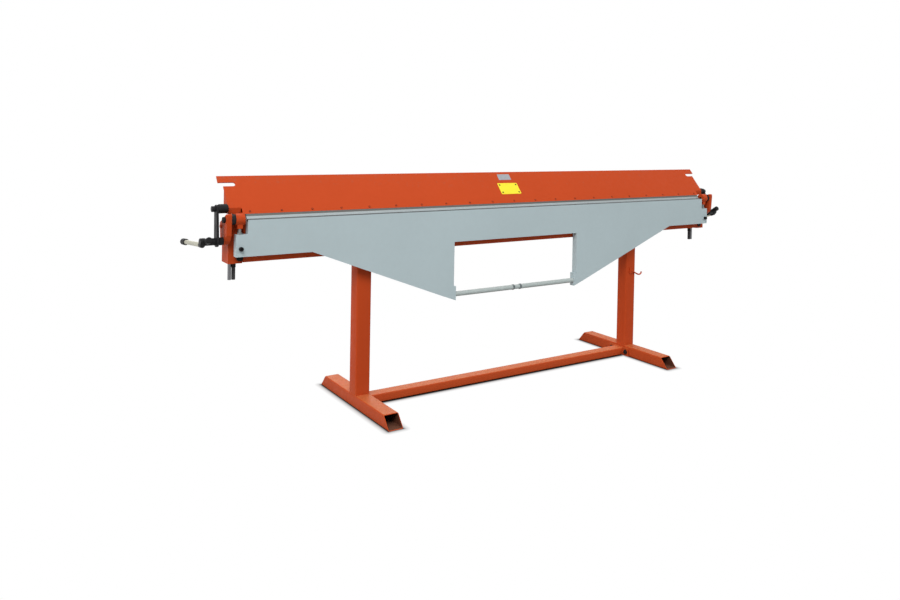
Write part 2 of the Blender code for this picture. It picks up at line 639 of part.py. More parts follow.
for label, side in SIDES.items():
    # Cheek with its guide holes
    cheek = box(label + "_cheek", span(side, CHEEK_X0, CHEEK_X1), (CHEEK_Y0, CHEEK_Y1),
                (CHEEK_Z0, CHEEK_Z1))
    cut(cheek, box(label + "_cheek_pocket",
                   span(side, CHEEK_X0 - OVERRUN, CHEEK_X1 - CHEEK_WALL),
                   (CHEEK_Y0 + CHEEK_WALL, CHEEK_Y1 - CHEEK_WALL),
                   (CHEEK_Z0 + CHEEK_WALL, CHEEK_Z1 - CHEEK_WALL), CUTTERS))
    for piece, x, radius in (("rod", GUIDE_ROD_X, GUIDE_ROD_RADIUS),
                             ("tube", GUIDE_TUBE_X, GUIDE_TUBE_RADIUS)):
        cut(cheek, rod(label + "_hole_for_" + piece, (side * x, GUIDE_Y, CHEEK_Z0 - OVERRUN),
                       (side * x, GUIDE_Y, CHEEK_Z1 + OVERRUN), radius + GUIDE_PLAY, CUTTERS))
    finish(cheek, "orange")
    buffer_x = side * (CHEEK_X0 + BUFFER_EDGE - CHEEK_WALL)
    buffer_z = CHEEK_Z0 + BUFFER_UP
    buffer = rod(label + "_rest_buffer", (buffer_x, CHEEK_Y0 - GAP, buffer_z),
                 (buffer_x, PANEL_Y1 + BUFFER_SPACE, buffer_z), BUFFER_RADIUS)
    finish(buffer, "black")

    # Hinge ear with its headed pin and washer
    ear_ring = [(EAR_Y0 + deep_share * EAR_DEEP, EAR_Z0 + high_share * EAR_HIGH)
                for deep_share, high_share in EAR_SHARES]
    ear = outline(label + "_hinge_ear", [ear_ring], "YZ", side * (EAR_X0 + EAR_X1) / 2, EAR_WIDE)
    for piece, y, z, radius in (("shaft", SHAFT_Y, SHAFT_Z, SHAFT_RADIUS + RUNNING_PLAY),
                                ("pin", HINGE_Y, HINGE_Z, PIN_RADIUS + GAP)):
        cut(ear, rod(label + "_ear_hole_for_" + piece, (side * (EAR_X0 - OVERRUN), y, z),
                     (side * (EAR_X1 + OVERRUN), y, z), radius, CUTTERS))
    bm = bmesh.new()
    for step in (0, 1):
        y = EAR_Y0 + EAR_DEEP - EAR_BOLT_INSET
        z = EAR_Z0 + EAR_BOLT_LOW + step * EAR_BOLT_PITCH
        add_rod(bm, (side * (EAR_X0 + EAR_X1) / 2, y, z),
                (side * (EAR_X1 + EAR_BOLT_HIGH), y, z), EAR_BOLT_RADIUS, HEX_SIDES)
    join(ear, mesh_object(label + "_ear_bolts", bm, CUTTERS))
    finish(ear, "orange")
    head_x0 = EAR_X1 + GAP
    head_x1 = head_x0 + PIN_HEAD_HIGH
    pin_profile = [(head_x1, PIN_HEAD_RADIUS - PIN_DOME), (head_x1 - PIN_DOME, PIN_HEAD_RADIUS),
                   (head_x0, PIN_HEAD_RADIUS), (head_x0, PIN_RADIUS),
                   (PIN_X0 + PIN_DOME, PIN_RADIUS), (PIN_X0, PIN_RADIUS - PIN_DOME)]
    finish(turned(label + "_hinge_pin", pin_profile, HINGE_Y, HINGE_Z, side), "dark_steel")
    bore = PIN_RADIUS + RUNNING_PLAY
    ring = [(WASHER_X1, bore), (WASHER_X1, WASHER_RADIUS), (WASHER_X0, WASHER_RADIUS),
            (WASHER_X0, bore)]
    finish(turned(label + "_hinge_washer", ring, HINGE_Y, HINGE_Z, side, bored=True), "black")

    # Crank hub, arm and grip
    back = CRANK_BACK[label]
    grip_y, grip_z = about_shaft(GRIP_Y, GRIP_Z, back)
    hub_profile = [(HUB_X2, HUB_END_RADIUS - HUB_TAPER), (HUB_X2 - HUB_TAPER, HUB_END_RADIUS),
                   (HUB_X1 + HUB_TAPER, HUB_END_RADIUS), (HUB_X1, HUB_RADIUS),
                   (HUB_X0, HUB_RADIUS), (HUB_X0, SEAT_RADIUS), (ARM_X0 - GAP, SEAT_RADIUS),
                   (ARM_X0 - GAP, COLLAR_RADIUS), (EAR_X1 + GAP, COLLAR_RADIUS),
                   (EAR_X1 + GAP, SHAFT_RADIUS), (EAR_X0 + GAP, SHAFT_RADIUS)]
    hub = turned(label + "_crank_hub", hub_profile, SHAFT_Y, SHAFT_Z, side)
    lever_x = side * (HUB_X2 - LEVER_INSET)
    start_y = SHAFT_Y - LEVER_SOCKET_FRONT
    start_z = SHAFT_Z - LEVER_BELOW
    socket_start = Vector((lever_x, *about_shaft(start_y, start_z, back)))
    ahead = about_shaft(start_y + LEVER_LENGTH, start_z - LEVER_FALL, back)
    way = (Vector((lever_x, *ahead)) - socket_start).normalized()
    socket_end = socket_start + way * (LEVER_SOCKET_FRONT + LEVER_SOCKET_BACK)
    join(hub, rod(label + "_lever_socket", socket_start, socket_end,
                  LEVER_RADIUS + LEVER_SOCKET_WALL, CUTTERS))
    finish(hub, "black")
    lean = math.atan2(grip_y - SHAFT_Y, grip_z - SHAFT_Z)
    arm_ring = []
    for y, z, radius, first in ((grip_y, grip_z, ARM_HEAD_RADIUS, 0.0),
                                (SHAFT_Y, SHAFT_Z, ARM_FOOT_RADIUS, math.pi)):
        for step in range(ARC_STEPS + 1):
            turn = first + math.pi * step / ARC_STEPS - lean
            arm_ring.append((y + radius * math.cos(turn), z + radius * math.sin(turn)))
    arm = outline(label + "_crank_arm", [arm_ring], "YZ", side * (ARM_X0 + ARM_X1) / 2, ARM_THICK)
    for piece, y, z, radius in (("hub", SHAFT_Y, SHAFT_Z, SEAT_RADIUS),
                                ("bolt", grip_y, grip_z, GRIP_BOLT_RADIUS)):
        cut(arm, rod(label + "_arm_hole_for_" + piece, (side * (ARM_X0 - OVERRUN), y, z),
                     (side * (ARM_X1 + OVERRUN), y, z), radius + GAP, CUTTERS))
    finish(arm, "black")
    set_origin(arm, (side * (ARM_X0 + ARM_X1) / 2, SHAFT_Y, SHAFT_Z))
    bore = GRIP_BOLT_RADIUS + RUNNING_PLAY
    ring = [(GRIP_X1, bore), (GRIP_X1, GRIP_END_RADIUS), (GRIP_X1 - GRIP_END_LENGTH, GRIP_RADIUS),
            (GRIP_X0 + GRIP_END_LENGTH, GRIP_RADIUS), (GRIP_X0, GRIP_END_RADIUS), (GRIP_X0, bore)]
    finish(turned(label + "_grip", ring, grip_y, grip_z, side, bored=True), "black")
    head_x1 = ARM_X1 + GAP + GRIP_HEAD_HIGH
    head = [(head_x1, GRIP_HEAD_RADIUS - PIN_DOME), (head_x1 - PIN_DOME, GRIP_HEAD_RADIUS),
            (ARM_X1 + GAP, GRIP_HEAD_RADIUS), (ARM_X1 + GAP, GRIP_BOLT_RADIUS),
            (GRIP_X0 - GRIP_BOLT_PROUD, GRIP_BOLT_RADIUS)]
    finish(turned(label + "_grip_bolt", head, grip_y, grip_z, side, steps=SMALL_STEPS), "black")

    # Front knob and rear lever on the hub
    centre = Vector((side * (ARM_X1 + KNOB_OUT), SHAFT_Y, SHAFT_Z))
    reach = Vector((0, -math.cos(KNOB_ANGLE + back), math.sin(KNOB_ANGLE + back)))
    knob = rod(label + "_lever_knob", centre + reach * (HUB_END_RADIUS + GAP),
               centre + reach * KNOB_REACH, KNOB_RADIUS)
    ease(knob, KNOB_ROUND)
    finish(knob, "black")
    set_origin(knob, centre)
    start = socket_end + way * GAP
    end = start + way * LEVER_LENGTH
    lever = rod(label + "_lever", start, end, LEVER_RADIUS)
    finish(lever, "zinc")
    set_origin(lever, (lever_x, SHAFT_Y, SHAFT_Z))
    cap = rod(label + "_lever_cap", end - way * CAP_OVERLAP, end + way * (CAP_LENGTH - CAP_OVERLAP),
              LEVER_RADIUS + CAP_WALL)
    ease(cap, CAP_WALL / 2)
    cut(cap, rod(label + "_cap_bore", end - way * (CAP_OVERLAP + OVERRUN), end + way * GAP,
                 LEVER_RADIUS + GAP, CUTTERS))
    finish(cap, "black")
    set_origin(cap, (lever_x, SHAFT_Y, SHAFT_Z))

# Upper clamping beam: a folded triangular section with a free flange above its back wall
floor_z = NOSE_Z + UPPER_SKIN
inner_back_y = UPPER_BACK_Y - UPPER_SKIN
lip = face_point(FACE_LENGTH, -UPPER_SKIN)
outer_ring = [(NOSE_Y, NOSE_Z), (UPPER_BACK_Y, NOSE_Z), (UPPER_BACK_Y, under_face_z(UPPER_BACK_Y)),
              (lip.y, lip.z), (CREST_Y, CREST_Z)]
inner_front_y = NOSE_Y + (UPPER_SKIN + SKIN_DROP) / FACE_RISE
inner_ring = [(inner_front_y, floor_z), (inner_back_y, floor_z),
              (inner_back_y, under_face_z(inner_back_y))]
upper = outline("upper_beam", [outer_ring, inner_ring], "YZ", 0.0, 2 * TONGUE_HALF)
low = SLOT_LOW_SHARE * FACE_LENGTH
high = SLOT_HIGH_SHARE * FACE_LENGTH
slot_radius = (high - low) / 2
face_axes = Matrix((Vector((1, 0, 0)), -FACE_OUT, FACE_UP)).transposed().to_4x4()
for label, side in SIDES.items():
    ring = [(UPPER_HALF, -CUT_REACH), (TONGUE_HALF + OVERRUN, -CUT_REACH),
            (TONGUE_HALF + OVERRUN, high)]
    for step in range(ARC_STEPS + 1):
        turn = math.pi / 2 + math.pi * step / ARC_STEPS
        ring.append((UPPER_HALF - SLOT_LENGTH + slot_radius * (1 + math.cos(turn)),
                     (low + high) / 2 + slot_radius * math.sin(turn)))
    ring.append((UPPER_HALF, low))
    ring = [(side * x, reach) for x, reach in ring]
    tool = outline(label + "_end_cut", [ring], "XZ", 0.0, 2 * CUT_REACH, CUTTERS)
    tool.data.transform(face_axes)
    tool.location = (0.0, NOSE_Y, NOSE_Z)
    cut(upper, tool)
    cut(upper, box(label + "_nose_notch", span(side, NOTCH_X, TONGUE_HALF + OVERRUN),
                   (NOSE_Y - OVERRUN, NOTCH_Y), (NOSE_Z - OVERRUN, NOTCH_Z), CUTTERS))
bm = bmesh.new()
for number in range(NOSE_SCREW_COUNT):
    x = (number - (NOSE_SCREW_COUNT - 1) / 2) * NOSE_SCREW_PITCH
    start = face_point(NOSE_SCREW_REACH, -UPPER_SKIN / 2)
    end = face_point(NOSE_SCREW_REACH, NOSE_SCREW_HIGH)
    start.x = x
    end.x = x
    add_rod(bm, start, end, NOSE_SCREW_RADIUS, SMALL_STEPS)
join(upper, mesh_object("nose_screws", bm, CUTTERS))
rib_tip_y = lip.y - RIB_INSET
rib_back = UPPER_BACK_Y - UPPER_SKIN / 2
rib_ring = [(rib_back, under_face_z(rib_back) - RIB_DROP),
            (UPPER_BACK_Y, under_face_z(UPPER_BACK_Y) - RIB_DROP),
            (rib_tip_y, under_face_z(rib_tip_y)), (rib_tip_y, face_z(rib_tip_y) - SKIN_DROP / 2),
            (rib_back, face_z(rib_back) - SKIN_DROP / 2)]
for number in range(RIB_COUNT):
    x = (number - (RIB_COUNT - 1) / 2) * RIB_PITCH
    join(upper, outline(f"flange_rib_{number + 1}", [rib_ring], "YZ", x, RIB_THICK, CUTTERS))
finish(upper, "orange")

front = NOTCH_Y
end_ring = [(front, floor_z + GAP), (inner_back_y - GAP, floor_z + GAP),
            (inner_back_y - GAP, under_face_z(inner_back_y - GAP) - GAP),
            (front, under_face_z(front) - GAP)]
lug_ring = [(front, floor_z + GAP), (front + LUG_THICK, floor_z + GAP),
            (front + LUG_THICK, under_face_z(front + LUG_THICK) - GAP),
            (front, under_face_z(front) - GAP)]
for label, side in SIDES.items():
    plate = outline(label + "_end_plate", [end_ring], "YZ",
                    side * (UPPER_HALF - END_PLATE_THICK / 2), END_PLATE_THICK)
    near = NOTCH_X + LUG_SPACE
    far = UPPER_HALF - END_PLATE_THICK / 2
    join(plate, outline(label + "_end_lug", [lug_ring], "YZ", side * (near + far) / 2, far - near,
                        CUTTERS))
    finish(plate, "orange")
    top = NOSE_Z - GAP
    finish(rod(label + "_guide_rod", (side * GUIDE_ROD_X, GUIDE_Y, GUIDE_Z0),
               (side * GUIDE_ROD_X, GUIDE_Y, top), GUIDE_ROD_RADIUS), "steel")
    tube = rod(label + "_guide_tube", (side * GUIDE_TUBE_X, GUIDE_Y, GUIDE_Z0),
               (side * GUIDE_TUBE_X, GUIDE_Y, top), GUIDE_TUBE_RADIUS)
    cut(tube, rod(label + "_tube_bore", (side * GUIDE_TUBE_X, GUIDE_Y, GUIDE_Z0 - OVERRUN),
                  (side * GUIDE_TUBE_X, GUIDE_Y, GUIDE_Z0 + GUIDE_TUBE_SINK), GUIDE_TUBE_BORE,
                  CUTTERS, SMALL_STEPS))
    finish(tube, "black")

blade_ring = [(BLADE_TIP_Y, BLADE_TIP_Z), (BLADE_TIP_Y + NOSE_BLADE_DEEP, BLADE_TIP_Z),
              (BLADE_TIP_Y + NOSE_BLADE_DEEP, NOSE_Z - GAP), (NOSE_Y - GAP, NOSE_Z - GAP),
              (BLADE_TIP_Y + NOSE_BEVEL_DEEP, BLADE_TIP_Z + NOSE_BEVEL_HIGH)]
finish(outline("nose_blade", [blade_ring], "YZ", 0.0, 2 * WORK_HALF), "dark_steel")


def inset_ring(ring, inset):
    """Moves every edge of a closed outline inwards by the inset."""
    area = sum(a[0] * b[1] - b[0] * a[1] for a, b in zip(ring, ring[1:] + ring[:1]))
    way = 1.0 if area > 0 else -1.0
    moved = []
    for before, here, after in zip(ring[-1:] + ring[:-1], ring, ring[1:] + ring[:1]):
        first = (Vector(here) - Vector(before)).normalized()
        second = (Vector(after) - Vector(here)).normalized()
        first_in = Vector((-first.y, first.x)) * way
        second_in = Vector((-second.y, second.x)) * way
        turn_share = 1.0 + first_in.dot(second_in)
        moved.append(tuple(Vector(here) + (first_in + second_in) * inset / turn_share))
    return moved


# Bending beam: a flanged front sheet with two gussets round the window, and a ledge for its blade
right_ring = [(0.0, WINDOW_TOP), (WINDOW_HALF, WINDOW_TOP), (WINDOW_HALF, CORNER_Z + CORNER_HIGH),
              (CORNER_X, CORNER_Z + CORNER_HIGH), (CORNER_X, CORNER_Z),
              (CORNER_X + CORNER_RUN, CORNER_Z + CORNER_RISE), (GUSSET_HALF, PANEL_BOTTOM),
              (TAB_HALF, PANEL_BOTTOM), (TAB_HALF, TAB_TOP), (PANEL_HALF, TAB_TOP),
              (PANEL_HALF, PANEL_TOP), (0.0, PANEL_TOP)]
pocket_ring = inset_ring(right_ring[:-2] + [(PANEL_HALF, LEDGE_TOP), (0.0, LEDGE_TOP)], PANEL_SKIN)
pocket_ring[0] = (0.0, pocket_ring[0][1])
pocket_ring[-1] = (0.0, pocket_ring[-1][1])
panel = outline("bending_beam", [right_ring], "XZ", (PANEL_Y0 + PANEL_Y1) / 2, PANEL_DEEP)
mirror(panel)
pocket_span = (PANEL_Y0 + PANEL_SKIN, PANEL_Y1 + OVERRUN)
pocket = outline("bending_pocket", [pocket_ring], "XZ", sum(pocket_span) / 2,
                 pocket_span[1] - pocket_span[0], CUTTERS)
mirror(pocket)
cut(panel, pocket)
cut(panel, box("blade_ledge", (-PANEL_HALF - OVERRUN, PANEL_HALF + OVERRUN),
               (LEDGE_Y, PANEL_Y1 + OVERRUN), (LEDGE_TOP, PANEL_TOP + OVERRUN), CUTTERS))
finish(panel, "grey")
set_origin(panel, (0.0, HINGE_Y, HINGE_Z))
blade = box("bending_blade", (-WORK_HALF, WORK_HALF), (LEDGE_Y + GAP, HINGE_Y - BENDING_BLADE_CLEAR),
            (BENDING_BLADE_Z0, WORK_Z))
ease(blade, BLADE_ROUND)
finish(blade, "steel")

for label, side in SIDES.items():
    bolt_x = side * (TAB_HALF - TAB_BOLT_EDGE)
    bolt_z = PANEL_BOTTOM + TAB_BOLT_UP
    front = PANEL_Y0 - GAP - TAB_BOLT_HIGH
    bolt = rod(label + "_tab_bolt", (bolt_x, PANEL_Y0 - GAP, bolt_z), (bolt_x, front, bolt_z),
               TAB_BOLT_RADIUS)
    cut(bolt, rod(label + "_bolt_socket", (bolt_x, front - OVERRUN, bolt_z),
                  (bolt_x, front + TAB_BOLT_SINK, bolt_z), TAB_BOLT_SOCKET, CUTTERS, HEX_SIDES))
    finish(bolt, "black")
    knuckle = rod(label + "_knuckle", (side * KNUCKLE_X0, HINGE_Y, HINGE_Z),
                  (side * KNUCKLE_X1, HINGE_Y, HINGE_Z), KNUCKLE_RADIUS)
    join(knuckle, box(label + "_stem", about(side * STUD_X, STEM_WIDE),
                      about(STUD_Y, STEM_DEEP), (STEM_Z, HINGE_Z), CUTTERS))
    cut(knuckle, rod(label + "_pin_hole", (side * (KNUCKLE_X0 - OVERRUN), HINGE_Y, HINGE_Z),
                     (side * (KNUCKLE_X1 + OVERRUN), HINGE_Y, HINGE_Z),
                     PIN_RADIUS + RUNNING_PLAY, CUTTERS))
    finish(knuckle, "orange")
    set_origin(knuckle, (side * KNUCKLE_X0, HINGE_Y, HINGE_Z))
    stud_foot = TAB_TOP + GAP
    stud = rod(label + "_adjusting_stud", (side * STUD_X, STUD_Y, stud_foot),
               (side * STUD_X, STUD_Y, STEM_Z - GAP), STUD_RADIUS)
    join(stud, rod(label + "_stud_nut", (side * STUD_X, STUD_Y, stud_foot),
                   (side * STUD_X, STUD_Y, stud_foot + STUD_NUT_HIGH), STUD_NUT_RADIUS, CUTTERS,
                   HEX_SIDES))
    finish(stud, "zinc")

    # Tie tube and its lock nut
    tube = rod(label + "_tie_tube", (side * TIE_BREAK, TIE_Y, TIE_Z),
               (side * (CORNER_X - GAP), TIE_Y, TIE_Z), TIE_RADIUS)
    cut(tube, rod(label + "_tie_bore", (side * (TIE_BREAK - OVERRUN), TIE_Y, TIE_Z),
                  (side * (CORNER_X - OVERRUN), TIE_Y, TIE_Z), TIE_RADIUS - TIE_WALL, CUTTERS))
    finish(tube, "grey")
    bore = TIE_SCREW_RADIUS + GAP
    nut_x1 = TIE_BREAK - GAP
    nut = rod(label + "_lock_nut", (side * nut_x1, TIE_Y, TIE_Z),
              (side * (nut_x1 - TIE_NUT_WIDE), TIE_Y, TIE_Z), TIE_NUT_RADIUS, PARTS, HEX_SIDES)
    cut(nut, rod(label + "_nut_bore", (side * (nut_x1 + OVERRUN), TIE_Y, TIE_Z),
                 (-side * OVERRUN, TIE_Y, TIE_Z), bore, CUTTERS, SMALL_STEPS))
    finish(nut, "dark_steel")
    set_origin(nut, (side * nut_x1, TIE_Y, TIE_Z))

screw = rod("tension_screw", (-TIE_SCREW_HALF, TIE_Y, TIE_Z), (TIE_SCREW_HALF, TIE_Y, TIE_Z),
            TIE_SCREW_RADIUS, PARTS, SMALL_STEPS)
body_half = TIE_BREAK - 2 * GAP - TIE_NUT_WIDE
join(screw, rod("tension_screw_body", (-body_half, TIE_Y, TIE_Z), (body_half, TIE_Y, TIE_Z),
                TIE_BODY_RADIUS, CUTTERS))
finish(screw, "zinc")
set_origin(screw, (0.0, TIE_Y, TIE_Z))
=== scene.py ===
"""Looks of the sheet metal brake: finishes, rounded tubes, small fittings, plates and studio.

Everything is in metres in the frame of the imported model: +X along the beams, front towards -Y.
"""
import math

import bmesh
import bpy
from mathutils import Matrix, Vector


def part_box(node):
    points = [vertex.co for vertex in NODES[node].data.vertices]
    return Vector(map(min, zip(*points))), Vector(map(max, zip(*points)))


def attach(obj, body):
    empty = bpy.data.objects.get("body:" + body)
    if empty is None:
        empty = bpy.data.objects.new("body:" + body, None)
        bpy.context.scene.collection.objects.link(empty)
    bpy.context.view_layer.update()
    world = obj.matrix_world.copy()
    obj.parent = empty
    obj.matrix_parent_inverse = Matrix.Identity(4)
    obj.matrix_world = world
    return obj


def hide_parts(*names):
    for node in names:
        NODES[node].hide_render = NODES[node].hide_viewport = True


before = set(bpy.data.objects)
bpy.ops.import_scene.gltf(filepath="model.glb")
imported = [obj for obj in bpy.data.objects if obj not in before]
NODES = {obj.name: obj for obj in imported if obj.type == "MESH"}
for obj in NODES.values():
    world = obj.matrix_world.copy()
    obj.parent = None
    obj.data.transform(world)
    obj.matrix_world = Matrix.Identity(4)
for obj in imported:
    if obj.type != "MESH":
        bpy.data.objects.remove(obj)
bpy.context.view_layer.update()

# The way along X from each side to the middle, and the numbers of the axes
INWARD = {"left": 1, "right": -1}
X, Y, Z = range(3)

# Camera at the photograph's place, in metres and degrees, with its lens and sensor in millimetres
CAMERA_PLACE = (-2.7030, -3.5052, 1.3926)
CAMERA_YAW = 33.032
CAMERA_DOWN = 1.043
CAMERA_ROLL = -1.06
CAMERA_LENS = 30.669
CAMERA_SENSOR = 36.0
CAMERA_SHIFT_Y = -0.1689
CAMERA_NEAR = 0.05
CAMERA_FAR = 100.0

# Lamps: place, point that each faces, its two sides, and its power in watts
LAMPS = {
    "key_softbox": ((-5.5, -5.5, 8.2), (0.0, 0.0, 0.7), (6.0, 5.0), 750.0),
    "fill_softbox": ((4.5, -7.0, 5.8), (0.0, 0.0, 0.7), (5.0, 4.0), 265.0),
    "top_softbox": ((0.0, 1.0, 6.5), (0.0, 0.0, 0.8), (8.0, 4.0), 150.0),
    "side_softbox": ((-7.5, 0.2, 1.8), (0.0, 0.0, 0.7), (3.0, 2.4), 125.0),
    "back_softbox": ((2.0, 6.5, 5.5), (0.0, 0.0, 0.6), (6.0, 4.0), 255.0),
}
WORLD_STRENGTH = 0.15
BACKDROP_STRENGTH = 1.0
WHITE = (1.0, 1.0, 1.0, 1.0)

# Floor: close to the tubes above it, it keeps their shadow and has a dark contact shadow painted on
# it
FLOOR_SIZE = 40.0
FLOOR_TONE = 0.36
FLOOR_TONE_SPREAD = (-0.01, 0.01)
FLOOR_NOISE_SCALE = 6.0
FLOOR_ROUGHNESS = 0.8
FLOOR_SPECULAR = 0.1
SHADING_NODES = ("left_foot", "right_foot", "crossbar")
# Painted contact shadow: where it starts, how far it reaches and its dark colour
PAINTED_SHADOW_START = 0.002
PAINTED_SHADOW_REACH = 0.015
PAINTED_SHADOW_COLOUR = (0.035, 0.030, 0.028)
SHADOW_REACH = 0.036
SHADOW_EASE = 0.75

# Sloping face of the clamping beam, from its nose to its crest
NOSE = Vector((0.0, -0.0422, 1.0076))
CREST = Vector((0.0, 0.1016, 1.1750))
UP = (CREST - NOSE).normalized()
OUT = Vector((0.0, -UP.z, UP.y))

# Heights where a finish changes: the bevel of the nose blade, and the top edge of the panel, which
# is dark above it with a painted shade
BEVEL_TOP = 0.9975
PANEL_EDGE = 0.9838

# Roundings: folds of painted sheet, bars, and the cut ends of tubes
FOLD_ROUND = 0.0015
BAR_ROUND = 0.0008
TUBE_ROUND = BAR_ROUND / 2
ROUND_SEGMENTS = 2
SMOOTH_ANGLE = math.radians(32)


# Node helpers
NOISE_DETAIL = 4.0
NOISE_ROUGHNESS = 0.55
MIX_FIRST, MIX_SECOND, MIX_RESULT = 6, 7, 2
FULL_SPAN = (0.0, 1.0)
SOFT_SPAN = (0.30, 0.70)
FIRM_SPAN = (0.35, 0.65)


def shader_tree(name):
    """A new material with its Principled shader, ready for more nodes."""
    material = bpy.data.materials.new(name)
    material.use_nodes = True
    tree = material.node_tree
    return material, tree, tree.nodes["Principled BSDF"]


def add(tree, kind, **settings):
    """A new node with these settings."""
    node = tree.nodes.new(kind)
    for key, value in settings.items():
        setattr(node, key, value)
    return node


def feed(tree, value, socket):
    """Gives a socket a number, a colour or what another socket says."""
    if isinstance(value, bpy.types.NodeSocket):
        tree.links.new(value, socket)
    elif isinstance(value, tuple):
        socket.default_value = (*value, 1.0)
    else:
        socket.default_value = value


def object_place(tree, stretch=(1.0, 1.0, 1.0)):
    """The point on the piece in metres, stretched along each axis."""
    place = add(tree, "ShaderNodeTexCoord")
    mapping = add(tree, "ShaderNodeMapping")
    mapping.inputs["Scale"].default_value = stretch
    tree.links.new(place.outputs["Object"], mapping.inputs["Vector"])
    return mapping.outputs["Vector"]


def parts_of(tree, vector):
    """The X, Y and Z of a vector socket."""
    split = add(tree, "ShaderNodeSeparateXYZ")
    tree.links.new(vector, split.inputs["Vector"])
    return split.outputs


def noise(tree, place, scale, detail=NOISE_DETAIL, roughness=NOISE_ROUGHNESS):
    """A noise pattern, mostly between 0.3 and 0.7."""
    node = add(tree, "ShaderNodeTexNoise")
    node.inputs["Scale"].default_value = scale
    node.inputs["Detail"].default_value = detail
    node.inputs["Roughness"].default_value = roughness
    tree.links.new(place, node.inputs["Vector"])
    return node.outputs["Fac"]


def remap(tree, value, span, target=FULL_SPAN):
    """Takes one span of a value to another, and holds it at both ends."""
    node = add(tree, "ShaderNodeMapRange")
    node.inputs["From Min"].default_value, node.inputs["From Max"].default_value = span
    node.inputs["To Min"].default_value, node.inputs["To Max"].default_value = target
    tree.links.new(value, node.inputs["Value"])
    return node.outputs["Result"]


def math_node(tree, operation, *values):
    """One math node; each value is a number or a socket."""
    node = add(tree, "ShaderNodeMath", operation=operation)
    for value, socket in zip(values, node.inputs):
        feed(tree, value, socket)
    return node.outputs[0]


def mix(tree, factor, first, second):
    """Mixes two colours, each a colour or a socket."""
    node = add(tree, "ShaderNodeMix", data_type="RGBA")
    tree.links.new(factor, node.inputs["Factor"])
    feed(tree, first, node.inputs[MIX_FIRST])
    feed(tree, second, node.inputs[MIX_SECOND])
    return node.outputs[MIX_RESULT]


def bump(tree, height, depth, strength, after=None):
    """The normal of a relief, on top of an earlier one."""
    node = add(tree, "ShaderNodeBump")
    node.inputs["Distance"].default_value = depth
    node.inputs["Strength"].default_value = strength
    tree.links.new(height, node.inputs["Height"])
    if after is not None:
        tree.links.new(after, node.inputs["Normal"])
    return node.outputs["Normal"]


def dress(tree, shader, colour, roughness, normal):
    """Links the patterns of a finish to its shader."""
    tree.links.new(colour, shader.inputs["Base Color"])
    tree.links.new(roughness, shader.inputs["Roughness"])
    tree.links.new(normal, shader.inputs["Normal"])


def tint(colour, tone):
    """A colour times a tone, none of its channels over one."""
    return tuple(min(1.0, channel * tone) for channel in colour)


def tints(colour, tones):
    """A colour times each of these tones."""
    return [tint(colour, tone) for tone in tones]


def around(middle, spread):
    """The span that a spread makes round a value."""
    return middle + spread[0], middle + spread[1]


# Enamel. Here and below, a noise is (scale, detail, roughness) and a relief is (depth, strength)
ENAMEL_GLOSS = 0.46
ENAMEL_GLOSS_SPREAD = (-0.04, 0.07)
ENAMEL_SPECULAR = 0.09
PATCH_NOISE_SCALE = 1.7
PATCH_TONES = (0.965, 1.03)
MOTTLE_NOISE = (38.0, 6.0)
MOTTLE_SHARE = 0.06
MOTTLE_TONE = 0.75
RUBBED_EDGE = (0.545, 0.60)
CHIP_NOISE = (60.0, 5.0)
CHIP_SPAN = (0.56, 0.72)
CHIP_SHARE = 0.45
# Paler colour near the floor: partly dust, partly a painted sheen on faces that look up
DUST_AND_SHEEN_COLOUR = (0.60, 0.25, 0.09)
DUST_AND_SHEEN_HEIGHTS = (0.06, 0.16)
DUST_AND_SHEEN_NOISE = (17.0, 5.0)
DUST_AND_SHEEN_SHARES = (0.09, 0.15)
DUST_AND_SHEEN_UPWARD = (0.80, 1.0)
DUST_AND_SHEEN_GAINS = (0.5, 3.2)
PEEL_NOISE = (420.0, 2.0)
PEEL_RELIEF = (0.0004, 0.10)
WAVE_NOISE = (4.0, 2.0)
WAVE_RELIEF = (0.0006, 0.15)


